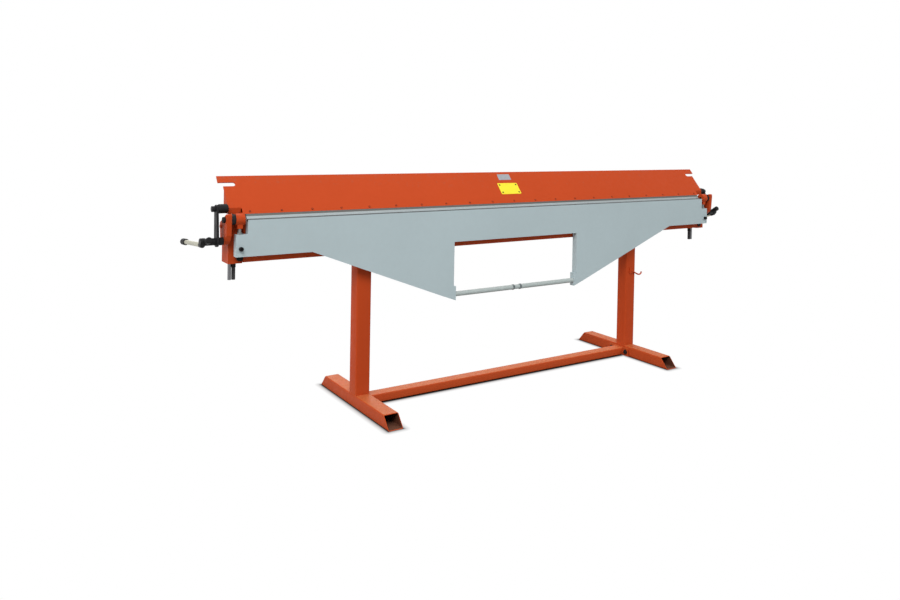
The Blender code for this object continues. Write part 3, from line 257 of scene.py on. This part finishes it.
def enamel(name, colour, worn, gloss=ENAMEL_GLOSS, specular=ENAMEL_SPECULAR, dust_and_sheen=DUST_AND_SHEEN_COLOUR,
           shaded_edge=None):
    """Sprayed enamel: slight unevenness, orange peel, rubbed edges, and near the floor a paler
    colour that is partly dust and partly a painted sheen, strongest on faces that look up.

    The last argument is (height, colour): above that height the edge takes this dark colour, a
    painted shade.
    """
    material, tree, shader = shader_tree(name)
    place = object_place(tree)
    height = parts_of(tree, place)["Z"]
    patches = remap(tree, noise(tree, place, PATCH_NOISE_SCALE), SOFT_SPAN)
    mottle = remap(tree, noise(tree, place, *MOTTLE_NOISE), FIRM_SPAN)
    base = mix(tree, patches, *tints(colour, PATCH_TONES))
    faint = remap(tree, mottle, FULL_SPAN, (0.0, MOTTLE_SHARE))
    base = mix(tree, faint, base, tint(colour, MOTTLE_TONE))
    geometry = add(tree, "ShaderNodeNewGeometry")
    edge = remap(tree, geometry.outputs["Pointiness"], RUBBED_EDGE)
    chips = remap(tree, noise(tree, place, *CHIP_NOISE), CHIP_SPAN, (0.0, CHIP_SHARE))
    base = mix(tree, math_node(tree, "MULTIPLY", edge, chips), base, worn)
    # Near the floor, paler where faces look up: partly dust, partly a painted sheen of the light on
    # top faces
    low = remap(tree, height, DUST_AND_SHEEN_HEIGHTS, (1.0, 0.0))
    dust_and_sheen_mask = remap(tree, noise(tree, place, *DUST_AND_SHEEN_NOISE), SOFT_SPAN, DUST_AND_SHEEN_SHARES)
    upward = remap(tree, parts_of(tree, geometry.outputs["Normal"])["Z"], DUST_AND_SHEEN_UPWARD, DUST_AND_SHEEN_GAINS)
    dust_and_sheen_mask = math_node(tree, "MULTIPLY", dust_and_sheen_mask, upward)
    base = mix(tree, math_node(tree, "MULTIPLY", low, dust_and_sheen_mask), base, dust_and_sheen)
    # Painted shade: the edge above this height is dark, as the shade under the nose blade
    if shaded_edge is not None:
        shade_height, shade_colour = shaded_edge
        base = mix(tree, math_node(tree, "GREATER_THAN", height, shade_height), base, shade_colour)
    roughness = remap(tree, mottle, FULL_SPAN, around(gloss, ENAMEL_GLOSS_SPREAD))
    peel = bump(tree, noise(tree, place, *PEEL_NOISE), *PEEL_RELIEF)
    wave = bump(tree, noise(tree, place, *WAVE_NOISE), *WAVE_RELIEF, after=peel)
    dress(tree, shader, base, roughness, wave)
    shader.inputs["Specular IOR Level"].default_value = specular
    return material


# Ground or drawn steel
ALONG_X = (3.0, 240.0, 240.0)
ALONG_Z = (240.0, 240.0, 3.0)
LINE_NOISE = (3.0, 6.0, 0.7)
LINE_TONES = (0.86, 1.10)
LINE_RELIEF = (0.0002, 0.2)
STAIN_NOISE_SCALE = 9.0
STAIN_SPAN = (0.50, 0.75)
STAIN_TONE = 0.5
FRESH_STAIN_SHARE = 0.25
STEEL_METALLIC = 0.9
STEEL_ROUGHNESS_SPREAD = (-0.06, 0.12)


def steel_lines(tree, colour, along, stain):
    """The colour and the line pattern of ground steel, before its shader."""
    lines = noise(tree, object_place(tree, along), *LINE_NOISE)
    clouds = noise(tree, object_place(tree), STAIN_NOISE_SCALE)
    base = mix(tree, remap(tree, lines, SOFT_SPAN), *tints(colour, LINE_TONES))
    oily = remap(tree, clouds, STAIN_SPAN, (0.0, stain))
    return mix(tree, oily, base, tint(colour, STAIN_TONE)), lines


def ground_steel(name, colour, along=ALONG_X, roughness=0.34, stain=0.2, below=None):
    """Ground or drawn steel: fine lines along one axis, with a faint oily stain.

    below is (height, colour): the part under that height is ground brighter.
    """
    material, tree, shader = shader_tree(name)
    base, lines = steel_lines(tree, colour, along, stain)
    if below is not None:
        fresh_height, fresh_colour = below
        height = parts_of(tree, object_place(tree))["Z"]
        fresh, _ = steel_lines(tree, fresh_colour, along, stain * FRESH_STAIN_SHARE)
        base = mix(tree, math_node(tree, "LESS_THAN", height, fresh_height), base, fresh)
    sheen = remap(tree, lines, SOFT_SPAN, around(roughness, STEEL_ROUGHNESS_SPREAD))
    dress(tree, shader, base, sheen, bump(tree, lines, *LINE_RELIEF))
    shader.inputs["Metallic"].default_value = STEEL_METALLIC
    return material


# Zinc plate
ZINC_NOISE = (46.0, 5.0, 0.6)
ZINC_TONES = (0.84, 1.10)
ZINC_ROUGHNESS = (0.34, 0.52)
ZINC_METALLIC = 0.6
ZINC_GRAIN = (300.0, 3.0)
ZINC_RELIEF = (0.0002, 0.15)


def zinc_plate(name, colour):
    """Yellowish zinc plate with a blotchy passivated film."""
    material, tree, shader = shader_tree(name)
    place = object_place(tree)
    blotch = noise(tree, place, *ZINC_NOISE)
    base = mix(tree, remap(tree, blotch, FIRM_SPAN), *tints(colour, ZINC_TONES))
    roughness = remap(tree, blotch, SOFT_SPAN, ZINC_ROUGHNESS)
    dress(tree, shader, base, roughness, bump(tree, noise(tree, place, *ZINC_GRAIN), *ZINC_RELIEF))
    shader.inputs["Metallic"].default_value = ZINC_METALLIC
    return material


# Blackened steel, plastic and rubber
CLOUD_NOISE_SCALE = 26.0
CLOUD_TONES = (0.75, 1.3)
HANDLED_EDGE = (0.53, 0.60)
HANDLED_TONE = 5.0
GRAIN_DETAIL = 6.0
GRAIN_ROUGHNESS = 0.6
GRAIN_DEPTH = 0.0003
DARK_ROUGHNESS_SPREAD = (-0.07, 0.11)
DARK_SPECULAR = 0.12


def dark_finish(name, colour, roughness=0.45, grain=55.0, relief=0.2, worn=0.2):
    """Blackened steel, moulded plastic or rubber, with paler handling marks on its edges."""
    material, tree, shader = shader_tree(name)
    place = object_place(tree)
    texture = noise(tree, place, grain, GRAIN_DETAIL, GRAIN_ROUGHNESS)
    cloud = noise(tree, place, CLOUD_NOISE_SCALE)
    base = mix(tree, remap(tree, cloud, FIRM_SPAN), *tints(colour, CLOUD_TONES))
    geometry = add(tree, "ShaderNodeNewGeometry")
    edge = remap(tree, geometry.outputs["Pointiness"], HANDLED_EDGE, (0.0, worn))
    base = mix(tree, edge, base, tint(colour, HANDLED_TONE))
    sheen = remap(tree, cloud, SOFT_SPAN, around(roughness, DARK_ROUGHNESS_SPREAD))
    dress(tree, shader, base, sheen, bump(tree, texture, GRAIN_DEPTH, relief))
    shader.inputs["Specular IOR Level"].default_value = DARK_SPECULAR
    return material


# Thin plates
WIPE_STRETCH = (12.0, 90.0, 90.0)
WIPE_NOISE = (4.0, 5.0, 0.65)
WIPE_TONES = (0.95, 1.04)
WIPE_RELIEF = (0.0002, 0.12)
SMUDGE_NOISE = (40.0, 3.0)
SMUDGE_SPAN = (0.55, 0.75)
SMUDGE_SHARE = 0.2
SMUDGE_TONE = 0.8
PLATE_ROUGHNESS_SPREAD = (0.0, 0.15)
PLATE_SPECULAR = 0.30


def sheet_plate(name, colour, metallic, roughness):
    """A small thin plate with faint wiping marks along it."""
    material, tree, shader = shader_tree(name)
    wipe = noise(tree, object_place(tree, WIPE_STRETCH), *WIPE_NOISE)
    smudge = noise(tree, object_place(tree), *SMUDGE_NOISE)
    base = mix(tree, remap(tree, wipe, FIRM_SPAN), *tints(colour, WIPE_TONES))
    spots = remap(tree, smudge, SMUDGE_SPAN, (0.0, SMUDGE_SHARE))
    base = mix(tree, spots, base, tint(colour, SMUDGE_TONE))
    sheen = remap(tree, wipe, SOFT_SPAN, around(roughness, PLATE_ROUGHNESS_SPREAD))
    dress(tree, shader, base, sheen, bump(tree, wipe, *WIPE_RELIEF))
    shader.inputs["Metallic"].default_value = metallic
    shader.inputs["Specular IOR Level"].default_value = PLATE_SPECULAR
    return material


# Materials
ORANGE = enamel("orange_enamel", (0.510, 0.0620, 0.0125), worn=(0.34, 0.10, 0.06))
# The panel's top edge is darkened with a painted shade
GREY = enamel("grey_enamel", (0.490, 0.588, 0.612), worn=(0.50, 0.54, 0.55),
              shaded_edge=(PANEL_EDGE, (0.105, 0.120, 0.124)))
TUBE_GREY = enamel("pale_grey_enamel", (0.46, 0.52, 0.51), worn=(0.56, 0.60, 0.60))
NUT_GREY = enamel("nut_grey_enamel", (0.17, 0.20, 0.205), worn=(0.40, 0.42, 0.42))
BRIGHT = ground_steel("bright_steel", (0.50, 0.53, 0.53))
ROUND_BRIGHT = ground_steel("drawn_steel", (0.165, 0.165, 0.172), along=ALONG_Z)
DARK = ground_steel("dark_steel", (0.085, 0.095, 0.095), roughness=0.52)
NOSE_STEEL = ground_steel("nose_steel", (0.105, 0.105, 0.098), roughness=0.50, stain=0.3,
                          below=(BEVEL_TOP, (0.285, 0.318, 0.325)))
ZINC = zinc_plate("zinc_plate", (0.46, 0.45, 0.36))
DULL_ZINC = zinc_plate("dull_zinc", (0.24, 0.245, 0.235))
BLACK = dark_finish("black_steel", (0.008, 0.008, 0.0085))
TUBE_BLACK = dark_finish("tube_black", (0.030, 0.030, 0.031))
GRIP = dark_finish("black_plastic", (0.008, 0.008, 0.0085), roughness=0.50, grain=700.0, relief=0.3,
                   worn=0.1)
RUBBER = dark_finish("black_rubber", (0.007, 0.007, 0.007), roughness=0.72, grain=350.0, relief=0.4,
                     worn=0.1)
PLATE_YELLOW = sheet_plate("yellow_plate", (0.90, 0.76, 0.030), metallic=0.0, roughness=0.40)
PLATE_SILVER = sheet_plate("silver_plate", (0.32, 0.335, 0.36), metallic=0.5, roughness=0.36)
# Nose screw heads: red enamel darkened with a painted shade
SHADED_SCREW_RED = enamel("painted_shade_screw", (0.055, 0.016, 0.010), worn=(0.30, 0.10, 0.06))
# Inner walls of the tubes: the orange darkened to a painted shade of the inside of a tube
SHADED_TUBE_INSIDE = enamel("painted_shade_tube_inside", (0.11, 0.036, 0.020), worn=(0.16, 0.10, 0.08), gloss=0.7,
                     specular=0.05, dust_and_sheen=(0.17, 0.085, 0.055))

# Finish of each node, without its side; the rest is orange
FINISH = {
    "bending_beam": GREY,
    "tie_tube": TUBE_GREY,
    "lock_nut": NUT_GREY,
    "tension_screw": TUBE_GREY,
    "bed_jaw": BRIGHT,
    "bending_blade": DARK,
    "guide_rod": ROUND_BRIGHT,
    "nose_blade": NOSE_STEEL,
    "lever": ZINC,
    "adjusting_stud": DULL_ZINC,
    "rest_buffer": RUBBER,
    "grip": GRIP,
    "lever_knob": GRIP,
    "lever_cap": GRIP,
    "hinge_pin": BLACK,
    "crank_hub": BLACK,
    "crank_arm": BLACK,
    "grip_bolt": BLACK,
    "tab_bolt": BLACK,
    "hinge_washer": BLACK,
    "guide_tube": TUBE_BLACK,
}


def round_edges(obj, width):
    """Rounds the sharp edges of an object."""
    ease = obj.modifiers.new("eased edges", "BEVEL")
    ease.width = width
    ease.segments = ROUND_SEGMENTS
    ease.limit_method = "ANGLE"
    ease.angle_limit = SMOOTH_ANGLE
    ease.harden_normals = True


def finish_nodes():
    """Gives every CAD node its material and its roundings."""
    for node, obj in NODES.items():
        kind = node.removeprefix("left_").removeprefix("right_")
        obj.data.materials.clear()
        obj.data.materials.append(FINISH.get(kind, ORANGE))
        round_edges(obj, BAR_ROUND if kind in FINISH else FOLD_ROUND)


# Helpers for pieces
def corners(node):
    """The lowest and highest corner of a node."""
    low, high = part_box(node)
    return Vector(low), Vector(high)


def middle_and_half(node):
    """The middle of a node's box and half its size."""
    low, high = corners(node)
    return (low + high) / 2, (high - low) / 2


def new_object(name, data):
    """An object of this data in the scene."""
    obj = bpy.data.objects.new(name, data)
    bpy.context.scene.collection.objects.link(obj)
    return obj


def piece(name, bm, body, slot, *materials):
    """Makes a mesh a piece that rides on a body, smooth but for its sharp edges."""
    bmesh.ops.recalc_face_normals(bm, faces=bm.faces)
    data = bpy.data.meshes.new(name)
    bm.to_mesh(data)
    bm.free()
    for face in data.polygons:
        face.use_smooth = True
    data.set_sharp_from_angle(angle=SMOOTH_ANGLE)
    for material in materials:
        data.materials.append(material)
    obj = new_object(name, data)
    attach(obj, body)
    return obj


def circle(radius, sides):
    """The points of a circle about zero."""
    turns = (2 * math.pi * side / sides for side in range(sides))
    return [(radius * math.cos(turn), radius * math.sin(turn)) for turn in turns]


def rounded_ring(half_u, half_v, corner, steps):
    """The points of a rounded rectangle about zero."""
    ring = []
    for quarter, (sign_u, sign_v) in enumerate(((1, 1), (-1, 1), (-1, -1), (1, -1))):
        for step in range(steps + 1):
            turn = math.pi / 2 * (quarter + step / steps)
            ring.append((sign_u * (half_u - corner) + corner * math.cos(turn),
                         sign_v * (half_v - corner) + corner * math.sin(turn)))
    return ring


def bridge(bm, first, second):
    """Faces between two closed loops of as many points."""
    count = len(first)
    for here in range(count):
        after = (here + 1) % count
        bm.faces.new((first[here], first[after], second[after], second[here]))


def add_skin(bm, loops, closed=False):
    """Faces along a row of loops: closed joins the last to the first, else both ends are capped."""
    for first, second in zip(loops, loops[1:]):
        bridge(bm, first, second)
    if closed:
        bridge(bm, loops[-1], loops[0])
    else:
        bm.faces.new(loops[0])
        bm.faces.new(loops[-1])


def add_turned(bm, centre, axis, profile, sides):
    """A turned solid: the profile gives (radius, height) from its foot to its top."""
    turn = Vector(axis).to_track_quat("Z", "Y")
    loops = []
    for radius, height in profile:
        loops.append([bm.verts.new(Vector(centre) + turn @ Vector((u, v, height)))
                      for u, v in circle(radius, sides)])
    add_skin(bm, loops)


# Square tubes of the stand
TUBE_CORNER = 0.0065
TUBE_WALL = 0.0030
POST_WALL = 0.0040
FOOT_END_RUN = 0.0535
CORNER_STEPS = 5
INNER_WALL = 2


def square_tube(node, across, up, along, wall, slant=0.0):
    """A rounded square tube in place of a node; across, up and along are its axes.

    Its four skins are the outer wall, an end, the inner wall and the other end.
    """
    middle, half = middle_and_half(node)
    bm = bmesh.new()
    loops = []
    for inset, end in ((0.0, -1), (0.0, 1), (wall, 1), (wall, -1)):
        loop = []
        corner = max(TUBE_CORNER - inset, BAR_ROUND)
        for u, v in rounded_ring(half[across] - inset, half[up] - inset, corner, CORNER_STEPS):
            place = [0.0, 0.0, 0.0]
            place[across] = middle[across] + u
            place[up] = middle[up] + v
            rise_share = (v + half[up]) / (2 * half[up])
            place[along] = middle[along] + end * (half[along] - slant * rise_share)
            loop.append(bm.verts.new(place))
        loops.append(loop)
    add_skin(bm, loops, closed=True)
    bm.faces.ensure_lookup_table()
    count = len(loops[0])
    # The inner wall takes the painted shade of the tube's inside
    for face in bm.faces[INNER_WALL * count:(INNER_WALL + 1) * count]:
        face.material_index = 1
    tube = piece("rounded_" + node, bm, "stand", "orange_enamel", ORANGE, SHADED_TUBE_INSIDE)
    round_edges(tube, TUBE_ROUND)
    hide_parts(node)


def make_tubes():
    """The feet, the posts and the crossbar."""
    for label in INWARD:
        square_tube(label + "_foot", X, Z, Y, TUBE_WALL, FOOT_END_RUN)
        square_tube(label + "_post", X, Y, Z, POST_WALL)
    square_tube("crossbar", Y, Z, X, TUBE_WALL)


# Weld beads of the stand
BEAD_SIDES = 8
BEAD_STEP = 0.002
BEAD_VALLEY_SHARE = 0.86
BEAD_END_SHARE = 0.4
SEAM_CORNER_STEPS = 3
POST_BEAD = 0.0026
POST_SEAM_DROP = 0.0010
POST_SEAM_INSET_X = 0.0012
POST_SEAM_OUTSET_Y = 0.0006
CROSSBAR_BEAD = 0.0024
CROSSBAR_SEAM_INSET = 0.0008
STITCHES = 10
STITCH_LENGTH = 0.045
STITCH_BEAD = 0.0030
STITCH_INSET = 0.0006


def add_bead(bm, path, radius, closed=False):
    """A rippled weld bead along a path of points."""
    points = [Vector(point) for point in path]
    if closed:
        points.append(points[0])
    stops = []
    for first, second in zip(points, points[1:]):
        count = max(1, round((second - first).length / BEAD_STEP))
        stops += [first.lerp(second, step / count) for step in range(count)]
    if not closed:
        stops.append(points[-1])
    loops = []
    for number, stop in enumerate(stops):
        before = stops[number - 1] if number or closed else stop
        after = stops[(number + 1) % len(stops)] if number + 1 < len(stops) or closed else stop
        turn = (after - before).to_track_quat("Z", "Y")
        swell = radius * (1.0 if number % 2 else BEAD_VALLEY_SHARE)
        if not closed and number in (0, len(stops) - 1):
            swell = radius * BEAD_END_SHARE
        loops.append([bm.verts.new(stop + turn @ Vector((u, v, 0.0)))
                      for u, v in circle(swell, BEAD_SIDES)])
    add_skin(bm, loops, closed)


def make_weld_beads():
    """Seams on top of the feet and at the crossbar's ends, and stitches along the rear strap."""
    bm = bmesh.new()
    for label in INWARD:
        middle, half = middle_and_half(label + "_post")
        z = corners(label + "_post")[0].z - POST_SEAM_DROP
        ring = rounded_ring(half.x - POST_SEAM_INSET_X, half.y + POST_SEAM_OUTSET_Y, TUBE_CORNER,
                            SEAM_CORNER_STEPS)
        add_bead(bm, [(middle.x + u, middle.y + v, z) for u, v in ring], POST_BEAD, closed=True)
    low, high = corners("crossbar")
    middle_y, middle_z = (low.y + high.y) / 2, (low.z + high.z) / 2
    ring = rounded_ring((high.y - low.y) / 2, (high.z - low.z) / 2, TUBE_CORNER, SEAM_CORNER_STEPS)
    for x in (low.x + CROSSBAR_SEAM_INSET, high.x - CROSSBAR_SEAM_INSET):
        path = [(x, middle_y + u, middle_z + v) for u, v in ring]
        add_bead(bm, path, CROSSBAR_BEAD, closed=True)
    low, high = corners("rear_strap")
    y = low.y + STITCH_INSET
    for number in range(STITCHES):
        x = low.x + (high.x - low.x) * (number + 0.5) / STITCHES
        for z in (low.z, high.z):
            ends = [(x - STITCH_LENGTH / 2, y, z), (x + STITCH_LENGTH / 2, y, z)]
            add_bead(bm, ends, STITCH_BEAD)
    piece("weld_beads", bm, "stand", "orange_enamel", ORANGE)


# Hexagon heads on washers, over the plain heads of the stand
HEX_COVER = 1.17
HEX_SIDES = 6
HEX_RISE = 0.0006
HEX_CHAMFER = 0.0012
HEX_TOP_SHARE = 0.92
HEX_FOOT_SHARE = 0.9
WASHER_SHARE = 1.26
WASHER_THICK = 0.0014
WASHER_SIDES = 24
FLANGE_BOLT_RADIUS = 0.0105
FLANGE_BOLT_HIGH = 0.0085
FLANGE_BOLT_INSET = 0.024
SADDLE_BOLT_RADIUS = 0.0080
SADDLE_BOLT_HIGH = 0.0065
SADDLE_BOLT_INSET = 0.0125
SADDLE_THICK = 0.008
EAR_BOLT_RADIUS = 0.0075
EAR_BOLT_HIGH = 0.0050
EAR_BOLT_BACK = 0.021
EAR_BOLT_RISES = (0.014, 0.079)


def add_hex(bm, centre, axis, radius, height):
    """A hexagon head on its washer, over a plain head of this radius and height."""
    cover = radius * HEX_COVER
    washer = cover * WASHER_SHARE
    add_turned(bm, centre, axis, [(washer, 0.0), (washer, WASHER_THICK)], WASHER_SIDES)
    foot = WASHER_THICK * HEX_FOOT_SHARE
    top = height + HEX_RISE
    profile = [(cover, foot), (cover, top - HEX_CHAMFER), (cover * HEX_TOP_SHARE, top)]
    add_turned(bm, centre, axis, profile, HEX_SIDES)


def make_stand_bolt_heads():
    """Black heads on the crossbar's flanges and under the saddle plates."""
    bm = bmesh.new()
    for label, way in INWARD.items():
        low, high = corners(label + "_crossbar_flange")
        x = (high.x if way > 0 else low.x) - way * FLANGE_BOLT_HIGH
        for y in (low.y + FLANGE_BOLT_INSET, high.y - FLANGE_BOLT_INSET):
            centre = (x, y, (low.z + high.z) / 2)
            add_hex(bm, centre, (way, 0, 0), FLANGE_BOLT_RADIUS, FLANGE_BOLT_HIGH)
        low, high = corners(label + "_saddle_plate")
        for x in (low.x + SADDLE_BOLT_INSET, high.x - SADDLE_BOLT_INSET):
            for y in (low.y + SADDLE_BOLT_INSET, high.y - SADDLE_BOLT_INSET):
                centre = (x, y, high.z - SADDLE_THICK)
                add_hex(bm, centre, (0, 0, -1), SADDLE_BOLT_RADIUS, SADDLE_BOLT_HIGH)
    piece("stand_bolt_heads", bm, "stand", "black_steel", BLACK)


def make_ear_bolt_heads():
    """Painted heads on the outer faces of the hinge ears."""
    bm = bmesh.new()
    for label, way in INWARD.items():
        low, high = corners(label + "_hinge_ear")
        x = (low.x if way > 0 else high.x) + way * EAR_BOLT_HIGH
        for rise in EAR_BOLT_RISES:
            centre = (x, high.y - EAR_BOLT_BACK, low.z + rise)
            add_hex(bm, centre, (-way, 0, 0), EAR_BOLT_RADIUS, EAR_BOLT_HIGH)
    piece("ear_bolt_heads", bm, "stand", "orange_enamel", ORANGE)


# Bushes where the guide tubes leave the cheeks
BUSH_BORE = 0.0093
BUSH_RADIUS = 0.0107
BUSH_HIGH = 0.0290
BUSH_EASE = 0.0008
BUSH_SIDES = 28


def make_guide_bushes():
    """A plain bush under each cheek, eased at its lower edge."""
    bm = bmesh.new()
    for label in INWARD:
        low, high = corners(label + "_guide_tube")
        middle_x, middle_y = (low.x + high.x) / 2, (low.y + high.y) / 2
        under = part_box(label + "_cheek")[0][Z]
        loops = []
        for radius, drop in ((BUSH_BORE, 0.0), (BUSH_RADIUS, 0.0),
                             (BUSH_RADIUS, BUSH_HIGH - BUSH_EASE),
                             (BUSH_RADIUS - BUSH_EASE, BUSH_HIGH), (BUSH_BORE, BUSH_HIGH)):
            loops.append([bm.verts.new((middle_x + u, middle_y + v, under - drop))
                          for u, v in circle(radius, BUSH_SIDES)])
        add_skin(bm, loops, closed=True)
    piece("guide_bushes", bm, "stand", "black_plastic", GRIP)


# Painted socket screws along the nose of the clamping beam; their red heads are darkened with a
# painted shade of the recesses they sit in
NOSE_SCREWS = 21
NOSE_SCREW_PITCH = 0.15435
NOSE_SCREW_REACH = 0.0132
NOSE_SCREW_SIDES = 12
NOSE_SCREW_PROFILE = ((0.0056, -0.0004), (0.0056, 0.0013), (0.0045, 0.0023), (0.0030, 0.0023),
                      (0.0026, 0.0018))


def make_nose_screws():
    """A row of screws at even steps, with a small dip in each head."""
    bm = bmesh.new()
    for number in range(NOSE_SCREWS):
        centre = NOSE + UP * NOSE_SCREW_REACH
        centre.x = (number - (NOSE_SCREWS - 1) / 2) * NOSE_SCREW_PITCH
        add_turned(bm, centre, OUT, NOSE_SCREW_PROFILE, NOSE_SCREW_SIDES)
    piece("nose_screw_heads", bm, "clamping_beam", "orange_enamel", SHADED_SCREW_RED)


# Bare plates on the sloping face; low and high are reaches up the slope from the nose
PLATE_X = 0.006
PLATE_LIFT = 0.0001
PLATE_SIDE_SHARE = 0.6
PLATE_EASE_SHARE = 0.5
YELLOW_WIDE = 0.141
YELLOW_LOW = 0.0612
YELLOW_HIGH = 0.1392
YELLOW_THICK = 0.0012
YELLOW_CORNER = 0.0060
SILVER_WIDE = 0.088
SILVER_LOW = 0.1628
SILVER_HIGH = 0.2038
SILVER_THICK = 0.0006
SILVER_CORNER = 0.0030
RIVET_INSET = 0.0125
RIVET_SEAT = 0.0010
RIVET_SIDES = 16
RIVET_PROFILE = ((0.0052, 0.0), (0.0050, 0.0010), (0.0036, 0.0021), (0.0016, 0.0026))


def slope_plate(name, wide, low, high, thick, corner, material, slot):
    """A thin bare plate with rounded corners and an eased edge."""
    middle = NOSE + UP * (low + high) / 2
    half_high = (high - low) / 2
    bm = bmesh.new()
    loops = []
    for inset, out in ((0.0, PLATE_LIFT), (0.0, thick * PLATE_SIDE_SHARE),
                       (thick * PLATE_EASE_SHARE, thick)):
        ring = rounded_ring(wide / 2 - inset, half_high - inset, corner - inset, CORNER_STEPS)
        loops.append([bm.verts.new(middle + Vector((PLATE_X + u, 0.0, 0.0)) + UP * v + OUT * out)
                      for u, v in ring])
    add_skin(bm, loops)
    piece(name, bm, "clamping_beam", slot, material)


def make_plates():
    """The yellow plate and the smaller silver one above it."""
    slope_plate("yellow_plate", YELLOW_WIDE, YELLOW_LOW, YELLOW_HIGH, YELLOW_THICK, YELLOW_CORNER,
                PLATE_YELLOW, None)
    slope_plate("silver_plate", SILVER_WIDE, SILVER_LOW, SILVER_HIGH, SILVER_THICK, SILVER_CORNER,
                PLATE_SILVER, "bright_steel")


def make_plate_rivets():
    """Domed rivets in the corners of the yellow plate."""
    bm = bmesh.new()
    for side in (-1, 1):
        for reach in (YELLOW_LOW + RIVET_INSET, YELLOW_HIGH - RIVET_INSET):
            centre = NOSE + UP * reach + OUT * RIVET_SEAT
            centre.x = PLATE_X + side * (YELLOW_WIDE / 2 - RIVET_INSET)
            add_turned(bm, centre, OUT, RIVET_PROFILE, RIVET_SIDES)
    piece("plate_rivets", bm, "clamping_beam", "black_steel", BLACK)


# Floor, world, lamps and camera
def seen_directly(tree):
    """One for what the camera sees, also in a reflection or through glass, else zero."""
    path = add(tree, "ShaderNodeLightPath")
    seen = math_node(tree, "MAXIMUM", path.outputs["Is Camera Ray"], path.outputs["Is Glossy Ray"])
    return math_node(tree, "MAXIMUM", seen, path.outputs["Is Transmission Ray"])


def blend_surface(tree, share, first, second, output):
    """Mixes two shaders into the surface of an output node."""
    blend = add(tree, "ShaderNodeMixShader")
    for value, socket in zip((share, first, second), blend.inputs):
        tree.links.new(value, socket)
    tree.links.new(blend.outputs[0], tree.nodes[output].inputs["Surface"])


def beyond(tree, value, middle, half):
    """How far a coordinate lies outside a span."""
    off = math_node(tree, "ABSOLUTE", math_node(tree, "SUBTRACT", value, middle))
    return math_node(tree, "MAXIMUM", math_node(tree, "SUBTRACT", off, half), 0.0)


def gap_to(tree, ground, node):
    """How far a point of the floor lies from a node's box, seen from above."""
    middle, half = middle_and_half(node)
    off_x = beyond(tree, ground["X"], middle.x, half.x)
    off_y = beyond(tree, ground["Y"], middle.y, half.y)
    squares = (math_node(tree, "POWER", off, 2.0) for off in (off_x, off_y))
    return math_node(tree, "SQRT", math_node(tree, "ADD", *squares))


def make_floor():
    """A pale floor, white away from the object, that keeps the shadow close round the feet and has a
    dark contact shadow painted right round them.
    """
    bm = bmesh.new()
    bmesh.ops.create_grid(bm, x_segments=1, y_segments=1, size=FLOOR_SIZE / 2)
    data = bpy.data.meshes.new("studio_floor")
    bm.to_mesh(data)
    bm.free()
    floor = new_object("studio_floor", data)
    material, tree, shader = shader_tree("studio_floor")
    place = object_place(tree)
    paper = remap(tree, noise(tree, place, FLOOR_NOISE_SCALE), SOFT_SPAN)
    darker, lighter = around(FLOOR_TONE, FLOOR_TONE_SPREAD)
    tone = mix(tree, paper, (darker,) * 3, (lighter,) * 3)
    ground = parts_of(tree, place)
    nearest = None
    for node in SHADING_NODES:
        gap = gap_to(tree, ground, node)
        nearest = gap if nearest is None else math_node(tree, "MINIMUM", nearest, gap)
    # Painted shadow: the floor's colour goes dark right round the tubes
    painted_shadow = remap(tree, nearest, (PAINTED_SHADOW_START, PAINTED_SHADOW_REACH), (1.0, 0.0))
    tree.links.new(mix(tree, painted_shadow, tone, PAINTED_SHADOW_COLOUR), shader.inputs["Base Color"])
    shader.inputs["Roughness"].default_value = FLOOR_ROUGHNESS
    shader.inputs["Specular IOR Level"].default_value = FLOOR_SPECULAR
    away = math_node(tree, "POWER", remap(tree, nearest, (0.0, SHADOW_REACH)), SHADOW_EASE)
    share = math_node(tree, "MULTIPLY", seen_directly(tree), away)
    white = add(tree, "ShaderNodeEmission")
    blend_surface(tree, share, shader.outputs[0], white.outputs[0], "Material Output")
    data.materials.append(material)


def make_world():
    """Dim white light from all round, which the camera sees as plain white."""
    world = bpy.data.worlds.new("studio")
    world.use_nodes = True
    tree = world.node_tree
    light = tree.nodes["Background"]
    backdrop = add(tree, "ShaderNodeBackground")
    for background, strength in ((light, WORLD_STRENGTH), (backdrop, BACKDROP_STRENGTH)):
        background.inputs["Color"].default_value = WHITE
        background.inputs["Strength"].default_value = strength
    blend_surface(tree, seen_directly(tree), light.outputs[0], backdrop.outputs[0], "World Output")
    bpy.context.scene.world = world


def make_lamp(name, place, aim, size, power):
    """A softbox that faces a point."""
    data = bpy.data.lights.new(name, "AREA")
    data.shape = "RECTANGLE"
    data.size, data.size_y = size
    data.energy = power
    lamp = new_object(name, data)
    lamp.location = place
    lamp.rotation_mode = "QUATERNION"
    lamp.rotation_quaternion = (Vector(aim) - Vector(place)).to_track_quat("-Z", "Y")


def make_camera():
    """The camera at the photograph's place; its shift keeps the verticals parallel."""
    data = bpy.data.cameras.new("photo_camera")
    data.sensor_width = CAMERA_SENSOR
    data.lens = CAMERA_LENS
    data.shift_y = CAMERA_SHIFT_Y
    data.clip_start = CAMERA_NEAR
    data.clip_end = CAMERA_FAR
    camera = new_object("photo_camera", data)
    turn = (Matrix.Rotation(math.radians(-CAMERA_YAW), 4, "Z")
            @ Matrix.Rotation(math.radians(90.0 - CAMERA_DOWN), 4, "X")
            @ Matrix.Rotation(math.radians(-CAMERA_ROLL), 4, "Z"))
    camera.matrix_world = Matrix.Translation(CAMERA_PLACE) @ turn
    bpy.context.scene.camera = camera


finish_nodes()
make_tubes()
make_weld_beads()
make_stand_bolt_heads()
make_ear_bolt_heads()
make_guide_bushes()
make_nose_screws()
make_plates()
make_plate_rivets()
make_floor()
make_world()
for lamp_name, lamp in LAMPS.items():
    make_lamp(lamp_name, *lamp)
make_camera()
bpy.context.scene.view_settings.view_transform = "Standard"
